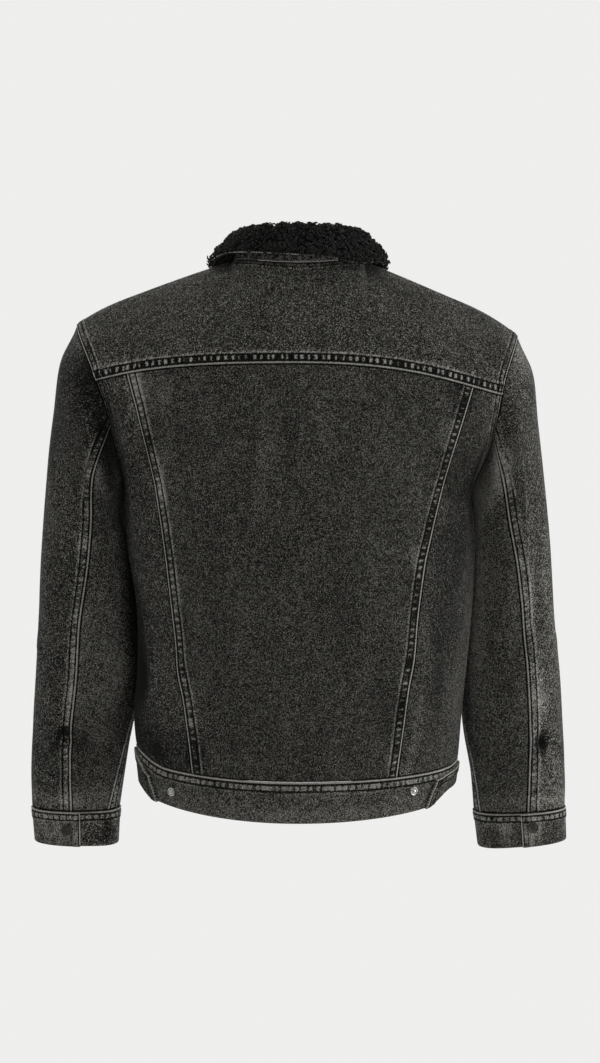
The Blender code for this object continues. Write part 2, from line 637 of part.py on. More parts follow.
# side back panels, between a slanting seam and the side seam and armhole
for side, name in SIDES:
    h = np.repeat(BODY_H[:, None], SIDE_CELLS + 1, axis=1)
    start = slant_share(h, side)
    share = np.linspace(0.0, 1.0, SIDE_CELLS + 1)[None, :]
    s = (start + (1.0 - start) * share) * side
    s[:, -1] = side
    outer = BACK.point(s, h)
    pull_in(outer, "first row", GAP / 2)
    pull_in(outer, "last row", GAP / 2)
    pull_in(outer, "first column", GAP / 2)
    lower = outer[: LOW_CELLS + 1]
    pull_in(lower, "last column", GAP / 2)
    wall("back_side_" + name, outer, body_inner(BACK, s, h, outer), DENIM)

# yoke
columns = np.concatenate((half_columns(RIGHT)[:0:-1], half_columns(LEFT)))
s, h = np.meshgrid(columns, TOP_H, indexing="xy")
yoke_outer = BACK.point(s, h)
pull_in(yoke_outer, "first row", GAP / 2)
seam_columns = np.abs(columns) >= NECK_SHARE - 1e-6
top = yoke_outer.copy()
pull_in(top, "last row", GAP / 2)
yoke_outer[-1, seam_columns] = top[-1, seam_columns]
wall("back_yoke", yoke_outer, body_inner(BACK, s, h, yoke_outer), DENIM)

# fronts: the left one laps over the right one at the centre line
FRONT_H = np.concatenate((BODY_H, TOP_H[1:]))


def lap_depth(s):
    """How far the right front steps inwards where it lies under the left one."""
    return smooth_step(-0.17, -0.085, s) * (CLOTH + 2 * GAP)


for side, name in SIDES:
    columns = np.concatenate(((-FRONT_LAP,), half_columns(1.0)))
    s, h = np.meshgrid(columns * side, FRONT_H, indexing="xy")
    outer = FRONT.point(s, h)
    normal = FRONT.normal(s, h)
    pull_in(outer, "first row", GAP / 2)
    top = outer.copy()
    pull_in(top, "last row", GAP / 2)
    seam_columns = columns >= NECK_SHARE - 1e-6
    outer[-1, seam_columns] = top[-1, seam_columns]
    lower = outer[: LOW_CELLS + 1]
    pull_in(lower, "last column", GAP / 2)
    inner = body_inner(FRONT, s, h, outer)
    if side == RIGHT:
        step = lap_depth(s)[..., None] * normal
        outer = (outer - step)[:, ::-1]
        inner = (inner - step)[:, ::-1]
    wall("front_" + name, outer, inner, DENIM)


# ---------------------------------------------------------------- waistband
HEM = {1: full_row(*HEM_BACK), -1: full_row(*HEM_FRONT)}


def band(sheet, s, down):
    """Waistband points: down is 0 at the waist seam and 1 at the hem."""
    top = sheet.point(s, np.zeros(s.shape))
    low = lookup(HEM[sheet.face], s)
    return top + (low - top) * down[..., None]


def band_normal(sheet, s, down, step=0.004):
    across = band(sheet, np.clip(s + step, -1, 1), down) - band(sheet, np.clip(s - step, -1, 1), down)
    fall = band(sheet, s, np.ones(s.shape)) - band(sheet, s, np.zeros(s.shape))
    return unit(np.cross(across, fall)) * sheet.face


def band_wall(name, sheet, columns, downs, lift=0.0, step_in=None, ends=()):
    """A strip of the waistband; its top edge shares the rim direction of the body."""
    s, down = np.meshgrid(columns, downs, indexing="xy")
    normal = band_normal(sheet, s, down)
    if downs[0] == 0.0:
        normal[0] = sheet.normal(s[0], np.zeros(s[0].shape))
    outer = band(sheet, s, down) + normal * lift
    if step_in is not None:
        outer = outer - normal * step_in(s)[..., None]
    if downs[0] == 0.0:
        pull_in(outer, "first row", GAP / 2)
    for edge in ends:
        pull_in(outer, edge, GAP / 2)
    return wall(name, outer, outer - normal * CLOTH, DENIM)


def waist_columns():
    """Columns at the waist seam, matched to the panels above."""
    parts = []
    for side in (RIGHT, LEFT):
        seam = float(slant_share(0.0, side))
        middle = middle_share * seam
        outside = np.linspace(seam, 1.0, SIDE_CELLS + 1)[1:]
        parts.append(np.concatenate((middle, outside)) * side)
    return np.concatenate((parts[0][:0:-1], parts[1]))


BAND_DOWN = np.linspace(0.0, 1.0, 4)
band_wall("waistband_back", BACK, waist_columns(), BAND_DOWN, ends=("first column", "last column"))
for side, name in SIDES:
    columns = np.concatenate(((-FRONT_LAP,), half_columns(1.0)))
    inset = lap_depth if side == RIGHT else None
    band_wall("waistband_" + name, FRONT, columns * side, BAND_DOWN, step_in=inset, ends=("last column",))

# side tabs: free ends that lie over the back waistband, short of their studs
TABS = {
    # side: share where the free end is at the top and at the hem, top edge there and at the side
    LEFT: (0.785, 0.740, 0.42, 0.10),
    RIGHT: (0.718, 0.660, 0.26, 0.20),
}
for side, name in SIDES:
    end_top, end_low, top_end, top_side = TABS[side]
    across, fall = np.meshgrid(np.linspace(0.0, 1.0, 7), np.linspace(0.0, 1.0, 3), indexing="xy")
    end = end_top + (end_low - end_top) * fall
    s = (end + (0.985 - end) * across) * side
    top = top_end + (top_side - top_end) * across
    down = top + (1.0 - top) * fall
    normal = band_normal(BACK, s, down)
    under = band(BACK, s, down) + normal * (GAP + TAB_OUT)
    wall("side_tab_" + name, under + normal * 0.0026, under, DENIM)


# ---------------------------------------------------------------- sleeves and cuffs
SLEEVE_ROWS = np.concatenate((np.linspace(0.0, 0.16, 5), np.linspace(0.16, 1.0, 13)[1:]))


for side, name in SIDES:
    sleeve = SLEEVES[side]
    under = np.arange(BACK_INDEX, UNDER_INDEX + 1).astype(float)
    upper = np.arange(UNDER_INDEX, ARM_RING + BACK_INDEX + 1).astype(float)
    for piece, columns in (("under", under), ("upper", upper)):
        wrapped = np.where(columns > ARM_RING, columns - ARM_RING, columns)
        outer, inner = sleeve.grid(SLEEVE_ROWS, wrapped)
        for edge in ("first column", "last column"):
            shift = outer.copy()
            pull_in(shift, edge, GAP / 2)
            k = 0 if edge == "first column" else -1
            inner[:, k] += shift[:, k] - outer[:, k]
            outer[:, k] = shift[:, k]
        wall("sleeve_" + piece + "_" + name, outer, inner, DENIM)


CUFF_ROWS = np.linspace(0.0, 1.0, 3)
CUFFS = {LEFT: CUFF_LEFT, RIGHT: CUFF_RIGHT}


def cuff_surface(side, angle, down):
    """Points of a cuff: angle in degrees, down is 0 at the cuff seam and 1 at the lower edge."""
    sleeve = SLEEVES[side]
    o_x, o_z, i_x, i_z, y, deep = CUFFS[side]
    turned = np.radians(angle)
    top = on_ring(sleeve.middle[-1], sleeve.across[-1], sleeve.deep[-1], turned)
    outer = np.array((o_x * side, y, o_z))
    inner = np.array((i_x * side, y, i_z))
    low = on_ring((outer + inner) / 2, (outer - inner) / 2, deep, turned)
    points = top + (low - top) * down[..., None]
    away = points - (sleeve.middle[-1] + (outer + inner) / 2) / 2
    away[..., 2] = 0.0
    away[..., 1] *= 2.0
    return points, unit(away)


def cuff_step(angle):
    """How far the hidden end of a cuff lies inside its showing end."""
    hidden, showing, done = CUFF_LAP
    return -(CLOTH + 2 * GAP) * (1 - smooth_step(showing + 8, done, angle))


CUFF_SWELL = 0.0006
for side, name in SIDES:
    angles = np.linspace(CUFF_LAP[0], 360 + CUFF_LAP[1], 31)
    around, down = np.meshgrid(angles, CUFF_ROWS, indexing="xy")
    points, away = cuff_surface(side, around, down)
    outer = points + away * (cuff_step(around) + CUFF_SWELL)[..., None]
    outer[0, :, 2] -= 2 * GAP
    wall("cuff_" + name, outer, outer - away * CLOTH, DENIM)


# ---------------------------------------------------------------- collar
def neckline(u):
    """Point and outward direction on the neckline: u is 0 at the back, 1 and -1 at the front."""
    side = np.where(u < 0, -1.0, 1.0)
    angle = np.abs(u) * np.pi
    behind = angle <= np.pi / 2
    depth = np.where(behind, NECK_BACK_DEPTH, NECK_FRONT_DEPTH)
    sine = np.sin(angle)
    rise = np.where(
        behind,
        NECK_SIDE_RISE * sine**2,
        -NECK_FRONT_DROP + (NECK_SIDE_RISE + NECK_FRONT_DROP) * sine**1.6,
    )
    points = np.stack((side * NECK_HALF_WIDTH * sine, depth * np.cos(angle), rise), -1)
    away = np.stack((side * depth * sine, NECK_HALF_WIDTH * np.cos(angle), 0 * sine), -1)
    return points, unit(away)


COLLAR_END = 0.975
COLLAR_STEPS = 16    # steps of the collar from the back to a front end
inside = np.arange(1 - COLLAR_STEPS, COLLAR_STEPS) / COLLAR_STEPS
COLLAR_U = np.concatenate(((-COLLAR_END,), inside, (COLLAR_END,)))
neck, away = neckline(COLLAR_U)
corners = np.arange(-2 * NECK_CELLS, 2 * NECK_CELLS + 1) / (2 * NECK_CELLS)
body_neck = neckline(corners)[0]
on_body = np.stack([np.interp(COLLAR_U, corners, body_neck[:, k]) for k in range(3)], -1)
STAND_LIFT = 0.0005
stand_low = on_body + (0, 0, STAND_LIFT)
sideways = np.clip(np.sin(np.minimum(np.abs(COLLAR_U), 0.5) * np.pi), 0, 1) ** 2
lean = STAND_LEAN * sideways
lower = 1 - FOLD_DROP * sideways
stand_top = neck + (0, 0, 1) * (STAND_HEIGHT * lower)[:, None] - away * lean[:, None]
stand_outer = np.stack((stand_low, stand_low + (stand_top - stand_low) / 2, stand_top))
wall("collar_stand", stand_outer, stand_outer - away * STAND_WALL, DENIM)

section = np.array(LEAF_SECTION)
edge = np.array(LEAF_EDGE)
spread = np.interp(np.abs(COLLAR_U), edge[:, 0], edge[:, 1])
drop = np.interp(np.abs(COLLAR_U), edge[:, 0], edge[:, 2])
out = section[:, 0] + np.outer(spread, section[:, 2]) - lean[:, None]
up = section[:, 1] * lower[:, None] + np.outer(drop, section[:, 2])
leaf = neck[:, None, :] + away[:, None, :] * out[..., None] + np.array((0, 0, 1)) * up[..., None]
tube("collar_leaf", leaf, FLEECE)


# ---------------------------------------------------------------- buttons and studs
def turned_button(name, place, facing, profile, look, steps=16):
    """A button turned from a profile of (radius, height) rows, standing on a surface."""
    facing = unit(np.array(facing))
    side = unit(np.cross(facing, (0.0, 0.0, 1.0)))
    up = np.cross(side, facing)
    turn = np.linspace(0.0, 2 * np.pi, steps, endpoint=False)[:, None]
    ring = np.cos(turn) * side + np.sin(turn) * up
    rows = [np.array(place) + ring * radius + facing * height for radius, height in profile]
    return tube(name, np.array(rows), look)


def shank_profile(radius, height):
    """A short shank under a cap with a rolled edge and a slightly sunk middle."""
    return (
        (radius * 0.45, GAP),
        (radius * 0.45, height * 0.35),
        (radius * 0.90, height * 0.40),
        (radius, height * 0.60),
        (radius * 0.96, height * 0.90),
        (radius * 0.80, height),
        (radius * 0.55, height * 0.86),
    )


FRONT_BUTTONS = (-0.090, -0.191, -0.292, -0.393, -0.494)  # heights down the front edge
front_edge = FRONT.point(np.zeros(FRONT_H.shape), FRONT_H)
front_rise = unit(np.diff(front_edge, axis=0))
for number, height in enumerate(FRONT_BUTTONS, start=1):
    place = np.array([np.interp(height, front_edge[:, 2], front_edge[:, k]) for k in range(3)])
    rise = front_rise[np.searchsorted(front_edge[:, 2], height) - 1]
    facing = unit(np.array((0.0, -rise[2], rise[1])))
    place = place + facing * BUTTON_SEAT
    turned_button(
        "front_button_%d" % number, place, facing, shank_profile(BUTTON_RADIUS, 0.0042), BRONZE
    )
s = np.array([0.0])
turned_button(
    "front_button_6",
    band(FRONT, s, np.array([0.5]))[0],
    band_normal(FRONT, s, np.array([0.5]))[0],
    shank_profile(BUTTON_RADIUS, 0.0042),
    BRONZE,
)

CUFF_BUTTONS = {LEFT: (85.0, 0.52), RIGHT: (82.0, 0.42)}
for side, name in SIDES:
    angle, down = CUFF_BUTTONS[side]
    points, away = cuff_surface(side, np.array([angle]), np.array([down]))
    place = points[0] + away[0] * CUFF_SWELL
    turned_button(
        "cuff_button_" + name, place, away[0], shank_profile(CUFF_BUTTON_RADIUS, 0.0036), BRONZE
    )

STUDS = {LEFT: (0.640, 0.58), RIGHT: (0.580, 0.42)}
STUD_PROFILE = (
    (0.0036, GAP),
    (0.0038, 0.0010),
    (STUD_RADIUS, 0.0012),
    (STUD_RADIUS, 0.0022),
    (0.0046, 0.0030),
    (0.0032, 0.0026),
    (0.0020, 0.0034),
)
for side, name in SIDES:
    share, down = STUDS[side]
    s = np.array([share * side])
    place = band(BACK, s, np.array([down]))[0]
    turned_button(
        "tab_stud_" + name, place, band_normal(BACK, s, np.array([down]))[0], STUD_PROFILE, STEEL, 14
    )
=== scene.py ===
# %% [markdown]
# # A washed denim jacket with a curly collar
# This script dresses a plain solid jacket in cloth, thread, metal and curls.  The solids come
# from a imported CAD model, which is loaded first and never moved.  Every denim piece is then made
# again as a thin shell on the same form, with the same formulas but many more points, so that
# folds, seams and puckers can be real shape.  The jacket hangs in the air, filled out as on a
# wearer: +Z is up, the back faces +Y and the left sleeve is at +X.

import bpy
import numpy as np
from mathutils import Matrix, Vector


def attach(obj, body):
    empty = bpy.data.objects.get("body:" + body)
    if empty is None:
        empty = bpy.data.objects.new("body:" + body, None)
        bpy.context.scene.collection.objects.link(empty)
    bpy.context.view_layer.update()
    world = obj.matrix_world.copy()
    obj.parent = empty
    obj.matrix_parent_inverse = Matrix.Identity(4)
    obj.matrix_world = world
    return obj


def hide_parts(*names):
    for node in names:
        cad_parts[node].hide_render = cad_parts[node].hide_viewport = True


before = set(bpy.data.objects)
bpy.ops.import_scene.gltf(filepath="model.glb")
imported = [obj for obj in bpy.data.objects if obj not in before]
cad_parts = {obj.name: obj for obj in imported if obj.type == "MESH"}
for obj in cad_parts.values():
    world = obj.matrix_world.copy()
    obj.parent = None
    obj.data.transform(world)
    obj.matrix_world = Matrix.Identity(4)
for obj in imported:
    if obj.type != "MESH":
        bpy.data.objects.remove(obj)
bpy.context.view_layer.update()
MM = 0.001

# %% [markdown]
# ## Small helpers for curves and directions
# A surface is a function of two numbers, worked out on a whole grid of them at once.  These
# helpers do the arithmetic that every piece shares: directions of length one, soft steps, bells,
# and the curve that leaves one point and arrives at the next along given handles.


# %% Helpers for numbers and curves
def unit(vectors):
    """Vectors divided by their own length."""
    return vectors / np.maximum(np.linalg.norm(vectors, axis=-1, keepdims=True), 1e-12)


def soft_step(low, high, x):
    """0 below low, 1 above high, and 3t^2 - 2t^3 between them."""
    t = np.clip((x - low) / (high - low), 0.0, 1.0)
    return t * t * (3.0 - 2.0 * t)


def plateau(x, start, full, still, end):
    """0 up to start, 1 from full to still and 0 from end on, with soft steps between them."""
    return soft_step(start, full, x) * (1 - soft_step(still, end, x))


def by_chance(sizes, chance):
    """The fixed part of a size plus its chance part, times a chance from 0 to 1."""
    return sizes[0] + sizes[1] * chance


def bell(x, middle, width):
    """A bump of height 1: e to the minus square of the distance over the width."""
    return np.exp(-(((x - middle) / width) ** 2))


def hermite(start, end, leave, arrive, t):
    """Cubic from start to end that leaves and arrives along the two handles."""
    return (
        (2 * t**3 - 3 * t**2 + 1) * start
        + (t**3 - 2 * t**2 + t) * leave
        + (3 * t**2 - 2 * t**3) * end
        + (t**3 - t**2) * arrive
    )


def between(table, place):
    """Rows of a table at fractional places, by straight lines between neighbours."""
    low = np.clip(place.astype(int), 0, len(table) - 2)
    part = (place - low)[..., None]
    return table[low] * (1 - part) + table[low + 1] * part


def lengths(points, axis):
    """Running length along one axis of a grid of points, from 0 at its start."""
    step = np.linalg.norm(np.diff(points, axis=axis), axis=-1)
    start = np.zeros_like(np.take(step, [0], axis=axis))
    return np.concatenate((start, np.cumsum(step, axis=axis)), axis=axis)


print("helpers ready: a soft step at its middle is", soft_step(0.0, 1.0, np.array([0.5]))[0])

# %% [markdown]
# ## The form of the body
# The back and the front are each one smooth surface before they are cut into panels.  A tailor
# thinks of the same thing as a block, or sloper.  It could be sculpted or draped, but here the
# solids already say what it is, so the shell uses the same rows: each row is a curve across the
# body, from the waist seam up to the yoke, and the last row is the neckline with the shoulder
# seams.  The place across is s (0 in the middle, 1 at the left side) and the height is h (0 at
# the waist seam, 1 at the yoke seam, 2 at the neck and shoulder seams).

# %% Sizes and rows of the body, in metres
CLOTH = 0.0030           # depth that the solids give to a denim wall
DENIM_THICK = 0.0016     # real thickness of the cloth
GAP = 0.0003             # between two pieces that meet
NECK_HALF_WIDTH = 0.080
NECK_BACK_DEPTH = 0.055
NECK_FRONT_DEPTH = 0.088
NECK_SIDE_RISE = 0.012
NECK_FRONT_DROP = 0.068
NECK_BACK_CURVE = 2.0    # powers of the sine by which the neckline rises to the side
NECK_FRONT_CURVE = 1.6
NECK_SHARE = 0.32
SHOULDER_BOW = 0.0075    # the shoulder seam bows up: height, power, and share near the neck
BOW_POWER, BOW_NEAR, BOW_GAIN = 0.6, 0.55, 0.85
FRONT_LAP = 0.080
UNDERARM = 0.70
BACK_ROWS = (
    # v, mid y, mid z, left x, y, z, right x, y, z, reach, turn x, y, z
    (0.0, 0.095, -0.614, 0.1985, -0.01, -0.596, 0.1965, -0.01, -0.604, 0.6, 0.0, 0.058, -0.004),
    (0.11, 0.105, -0.555, 0.203, -0.009, -0.546, 0.202, -0.009, -0.548, 0.6, 0.0, 0.062, 0.0),
    (0.25, 0.11, -0.485, 0.1965, 0.002, -0.484, 0.207, 0.002, -0.484, 0.6, 0.0, 0.062, 0.0),
    (0.39, 0.114, -0.412, 0.1965, 0.004, -0.412, 0.2135, 0.004, -0.412, 0.6, 0.0, 0.062, 0.0),
    (0.54, 0.117, -0.336, 0.208, 0.002, -0.338, 0.217, 0.002, -0.338, 0.6, 0.0, 0.066, 0.0),
    (0.7, 0.119, -0.258, 0.2145, -0.01, -0.27, 0.214, -0.01, -0.28, 0.6, 0.0, 0.072, 0.004),
    (0.81, 0.12, -0.208, 0.2225, 0.036, -0.212, 0.231, 0.036, -0.224, 0.58, -0.022, 0.05, 0.004),
    (0.91, 0.119, -0.164, 0.229, 0.06, -0.172, 0.237, 0.058, -0.188, 0.56, -0.044, 0.042, 0.006),
    (1.0, 0.1165, -0.129, 0.239, 0.066, -0.143, 0.2415, 0.065, -0.16, 0.54, -0.06, 0.036, 0.01),
)
FRONT_ROWS = (
    (0.0, -0.122, -0.608, 0.1985, -0.01, -0.596, 0.1965, -0.01, -0.604, 0.6, 0.0, -0.058, -0.004),
    (0.11, -0.134, -0.55, 0.203, -0.009, -0.546, 0.202, -0.009, -0.548, 0.6, 0.0, -0.066, 0.0),
    (0.25, -0.141, -0.484, 0.1965, 0.002, -0.484, 0.207, 0.002, -0.484, 0.6, 0.0, -0.07, 0.0),
    (0.39, -0.145, -0.412, 0.1965, 0.004, -0.412, 0.2135, 0.004, -0.412, 0.6, 0.0, -0.072, 0.0),
    (0.54, -0.146, -0.338, 0.208, 0.002, -0.338, 0.217, 0.002, -0.338, 0.6, 0.0, -0.074, 0.0),
    (0.7, -0.143, -0.264, 0.2145, -0.01, -0.27, 0.214, -0.01, -0.28, 0.6, 0.0, -0.074, 0.004),
    (0.81, -0.137, -0.216, 0.211, -0.06, -0.212, 0.213, -0.06, -0.224, 0.58, -0.014, -0.044, 0.004),
    (0.91, -0.13, -0.175, 0.214, -0.083, -0.17, 0.217, -0.083, -0.184, 0.56, -0.04, -0.03, 0.006),
    (1.0, -0.122, -0.142, 0.224, -0.084, -0.134, 0.226, -0.084, -0.148, 0.54, -0.056, -0.02, 0.01),
)
# share of the half row, then the handle's x, y, z where the back comes up to the top row
TOP_HANDLES = (
    (0.00, 0.000, -0.050, 0.110),
    (0.32, -0.012, -0.150, 0.070),
    (0.66, 0.006, -0.140, 0.062),
    (1.00, 0.020, -0.110, 0.060),
)
FRONT_HANDLE = (0.72, 0.36)              # size of the front's handles: side, middle
FRONT_NECK_HANDLE = (0.0, 0.020, 0.060)
CAP_START = (0.95, 0.62)                 # share of the slope at the yoke seam: back, front
SHOULDER_POINT = ((0.2735, -0.002, -0.067), (0.2711, -0.002, -0.081))
HEM_BACK = (0.096, -0.662, 0.1945, -0.01, -0.639, 0.1915, -0.01, -0.644, 0.6, 0.0, 0.057, -0.003)
HEM_FRONT = (-0.12, -0.654, 0.1945, -0.01, -0.639, 0.1915, -0.01, -0.644, 0.6, 0.0, -0.057, -0.003)
# The slanting back seams: level z, then how far from the middle the seam is there: left, right.
SLANT_SEAM = (
    (-0.612, 0.1245, 0.1165), (-0.591, 0.1270, 0.1190), (-0.532, 0.1335, 0.1260),
    (-0.473, 0.1415, 0.1345), (-0.414, 0.1490, 0.1415), (-0.356, 0.1555, 0.1500),
    (-0.314, 0.1615, 0.1595), (-0.267, 0.1695, 0.1720), (-0.220, 0.1800, 0.1850),
    (-0.174, 0.1905, 0.1990), (-0.139, 0.2000, 0.2100),
)
LEFT = 1
RIGHT = -1
SIDES = ((LEFT, "left"), (RIGHT, "right"))
UP = np.array((0.0, 0.0, 1.0))
ROW_POINTS = 201         # points kept on half a row
SPREAD = np.linspace(-1.0, 1.0, 2 * ROW_POINTS - 1)
print("body rows:", len(BACK_ROWS), "on the back and", len(FRONT_ROWS), "on the front")


def in_order(side, one, other):
    """The two values in this order on the left side, and the other way round on the right."""
    return (one, other) if side > 0 else (other, one)


# %% Rows as curves
def even_steps(curve, count=ROW_POINTS):
    """The same curve with its points at equal distances along it."""
    along = lengths(curve, 0)
    wanted = np.linspace(0.0, along[-1], count)
    return np.stack([np.interp(wanted, along, curve[:, k]) for k in range(3)], axis=1)


def half_row(mid, side, reach, turn):
    """Bezier curve from the centre line out to the side, with points at equal steps."""
    t = np.linspace(0.0, 1.0, 401)[:, None]
    first = np.array(mid) + np.array((side[0] * reach, 0.0, 0.0))
    second = np.array(side) + np.array(turn)
    curve = (1 - t) ** 3 * np.array(mid) + 3 * (1 - t) ** 2 * t * first
    return even_steps(curve + 3 * (1 - t) * t**2 * second + t**3 * np.array(side))


def full_row(mid_y, mid_z, lx, ly, lz, rx, ry, rz, reach, tx, ty, tz):
    """A row from the right side (s = -1) through the middle to the left side (s = 1)."""
    left = half_row((0.0, mid_y, mid_z), (lx, ly, lz), reach, (tx, ty, tz))
    right = half_row((0.0, mid_y, mid_z), (rx, ry, rz), reach, (tx, ty, tz)) * (-1, 1, 1)
    return np.concatenate((right[:0:-1], left))


def neck_and_shoulders(face):
    """The top row: a quarter oval for half the neckline, then a bowed line out to the shoulder
    point.  face is 1 on the back and -1 on the front."""
    depth = NECK_BACK_DEPTH if face > 0 else NECK_FRONT_DEPTH
    drop = 0.0 if face > 0 else -NECK_FRONT_DROP
    curve = NECK_BACK_CURVE if face > 0 else NECK_FRONT_CURVE
    s = np.linspace(0.0, 1.0, ROW_POINTS)
    angle = np.pi / 2 * np.clip(s / NECK_SHARE, 0.0, 1.0)
    rise = drop + (NECK_SIDE_RISE - drop) * np.sin(angle) ** curve
    neck = np.stack((NECK_HALF_WIDTH * np.sin(angle), face * depth * np.cos(angle), rise), 1)
    start = np.array((NECK_HALF_WIDTH, 0.0, NECK_SIDE_RISE))
    along = np.clip((s - NECK_SHARE) / (1 - NECK_SHARE), 0.0, 1.0)[:, None]
    bow = (4 * along * (1 - along)) ** BOW_POWER * (BOW_NEAR + BOW_GAIN * along)
    halves = []
    for side, shoulder in zip((LEFT, RIGHT), SHOULDER_POINT):
        seam = start + (np.array(shoulder) - start) * along
        seam[:, 2] += SHOULDER_BOW * bow[:, 0]
        halves.append(np.where((s <= NECK_SHARE)[:, None], neck, seam) * (side, 1, 1))
    return np.concatenate((halves[1][:0:-1], halves[0]))


def slopes_of(rows, knots):
    """The slope of every step from row to row, and at each row the mean of those beside it."""
    slopes = np.diff(rows, axis=0) / np.diff(knots)[:, None, None]
    return slopes, np.concatenate((slopes[:1], (slopes[1:] + slopes[:-1]) / 2, slopes[-1:]))


def through_rows(rows, slope, knots, place, pick):
    """Points on the cubics through a stack of rows.  pick takes the points of one row that
    belong to the chosen places."""
    low = np.clip(np.searchsorted(knots, place, side="right") - 1, 0, len(knots) - 2)
    out = np.zeros(np.shape(place) + (3,))
    for k, wide in enumerate(np.diff(knots)):
        here = low == k
        t = ((place[here] - knots[k]) / wide)[:, None]
        ends = [pick(rows[k + i], here) for i in (0, 1)]
        ways = [pick(slope[k + i], here) * wide for i in (0, 1)]
        out[here] = hermite(*ends, *ways, t)
    return out


def across_row(table, s):
    """Points of a dense row at the places s."""
    return between(table, (np.clip(s, -1.0, 1.0) + 1.0) * (len(SPREAD) - 1) / 2)


top_length = lengths(neck_and_shoulders(1), 0)[-1]
print("along the top row, neck to shoulder:", round(float(top_length), 3), "m")

# %% [markdown]
# ## Folds as soft ridges and troughs
# Cloth over a body bends into a few long folds and many small ones.  A cloth simulation could
# make them, but it would lose the crisp seams, so each fold is given one by one: a stretched bell
# that lifts the cloth, or sinks it, along a slanting line.  The first table holds the large folds
# that the solids have too, and the second the finer creases that only the cloth has.

# %% Folds and creases
FOLDS = {
    # a, b: middle; long, wide: half sizes; slant in radians; out: height in metres
    "back": (
        (0.62, 0.22, 0.3, 0.05, -0.5, 0.004), (-0.66, 0.2, 0.28, 0.05, 0.55, 0.0045),
        (0.3, 0.12, 0.22, 0.06, -0.2, -0.003), (-0.25, 0.5, 0.34, 0.07, 0.1, -0.0025),
        (0.86, 0.78, 0.16, 0.05, 1.2, 0.0045), (-0.86, 0.76, 0.16, 0.05, -1.2, 0.0045),
    ),
    "front": (
        (0.55, 0.18, 0.3, 0.06, -0.4, 0.004), (-0.55, 0.24, 0.3, 0.06, 0.45, 0.004),
        (0.8, 0.74, 0.18, 0.06, 1.0, 0.004), (-0.8, 0.74, 0.18, 0.06, -1.0, 0.004),
    ),
    "left": (
        (0.2, 0.3, 0.12, 0.05, 0.6, 0.0035), (0.32, 0.52, 0.14, 0.04, -0.5, -0.004),
        (0.2, 0.86, 0.1, 0.03, 0.3, -0.0045),
    ),
    "right": (
        (0.17, 0.34, 0.06, 0.22, 0.0, 0.004), (0.33, 0.55, 0.14, 0.04, 0.5, -0.004),
        (0.19, 0.86, 0.1, 0.03, -0.3, -0.0055),
    ),
}


def sum_of_bells(table, where, a, b):
    """Adds up the rows of one place: height times a bell that is long one way, narrow across."""
    total = np.zeros(np.shape(a))
    for at_a, at_b, long, wide, slant, out in table.get(where, ()):
        along = (a - at_a) * np.cos(slant) + (b - at_b) * np.sin(slant)
        cross = (b - at_b) * np.cos(slant) - (a - at_a) * np.sin(slant)
        total += out * np.exp(-((along / long) ** 2) - (cross / wide) ** 2)
    return total


print("large folds:", {place: len(rows) for place, rows in FOLDS.items()})


# %% The back and the front as surfaces
class BodyForm:
    """The back or the front of the body: rows joined by cubics, and its folds on top."""

    def __init__(self, rows, face):
        self.face = face
        self.name = "back" if face > 0 else "front"
        self.knots = np.array([row[0] for row in rows])
        self.rows = np.array([full_row(*row[1:]) for row in rows])
        slopes, self.slope = slopes_of(self.rows, self.knots)
        joint = int(np.argmin(np.abs(self.knots - UNDERARM)))
        self.slope[joint] = slopes[joint - 1]
        self.top = neck_and_shoulders(face)
        handle = np.array(TOP_HANDLES)
        share = np.abs(SPREAD)
        half = np.stack([np.interp(share, handle[:, 0], handle[:, k]) for k in (1, 2, 3)], 1)
        half[:, 0] *= np.sign(SPREAD)
        if face < 0:
            size = np.interp(share, (0.0, NECK_SHARE), FRONT_HANDLE[::-1])[:, None]
            half = half * (-1, -1, -1) * size
            neck = np.clip(1 - share / NECK_SHARE, 0.0, 1.0)[:, None]
            half = half * (1 - neck) + np.array(FRONT_NECK_HANDLE) * neck
        self.arrive = half
        self.leave = self.slope[-1] * (1 - UNDERARM) * CAP_START[0 if face > 0 else 1]

    def plain(self, s, h):
        """The surface without folds: a cubic from row to row, and one up to the top row."""
        pick = lambda row, here: across_row(row, s[here])
        out = through_rows(self.rows, self.slope, self.knots, np.clip(h, 0.0, 1.0), pick)
        up = h > 1.0
        top = (self.rows[-1], self.top, self.leave, self.arrive)
        out[up] = hermite(*(across_row(table, s[up]) for table in top), (h[up] - 1.0)[:, None])
        return out

    def facing(self, surface, s, h, step=0.004):
        """Outward direction: the cross product of the slopes across and up."""
        across = surface(np.clip(s + step, -1, 1), h) - surface(np.clip(s - step, -1, 1), h)
        up = surface(s, np.clip(h + step, 0, 2)) - surface(s, np.clip(h - step, 0, 2))
        return unit(np.cross(up, across)) * self.face

    def point(self, s, h):
        """The surface with its folds."""
        lift = sum_of_bells(FOLDS, self.name, s, h)
        return self.plain(s, h) + self.facing(self.plain, s, h) * lift[..., None]

    def normal(self, s, h):
        return self.facing(self.point, s, h)


BACK = BodyForm(BACK_ROWS, 1)
FRONT = BodyForm(FRONT_ROWS, -1)
HEM = {1: full_row(*HEM_BACK), -1: full_row(*HEM_FRONT)}


def slant_share(h, side):
    """Where the slanting back seam is at the height h, as a share of the half row: the place in
    the row that is as far from the middle as the seam is at that level."""
    table = np.array(SLANT_SEAM)
    shares, heights = np.meshgrid(np.linspace(0.3, 1.0, 141), np.linspace(0.0, 1.0, 101))
    rows = BACK.plain(side * shares, heights)
    seam = np.interp(rows[..., 2], table[:, 0], table[:, 1 if side > 0 else 2])
    past = np.abs(rows[..., 0]) - seam
    meets = [np.interp(0.0, line, shares[0]) for line in past]
    return np.interp(h, heights[:, 0], meets)


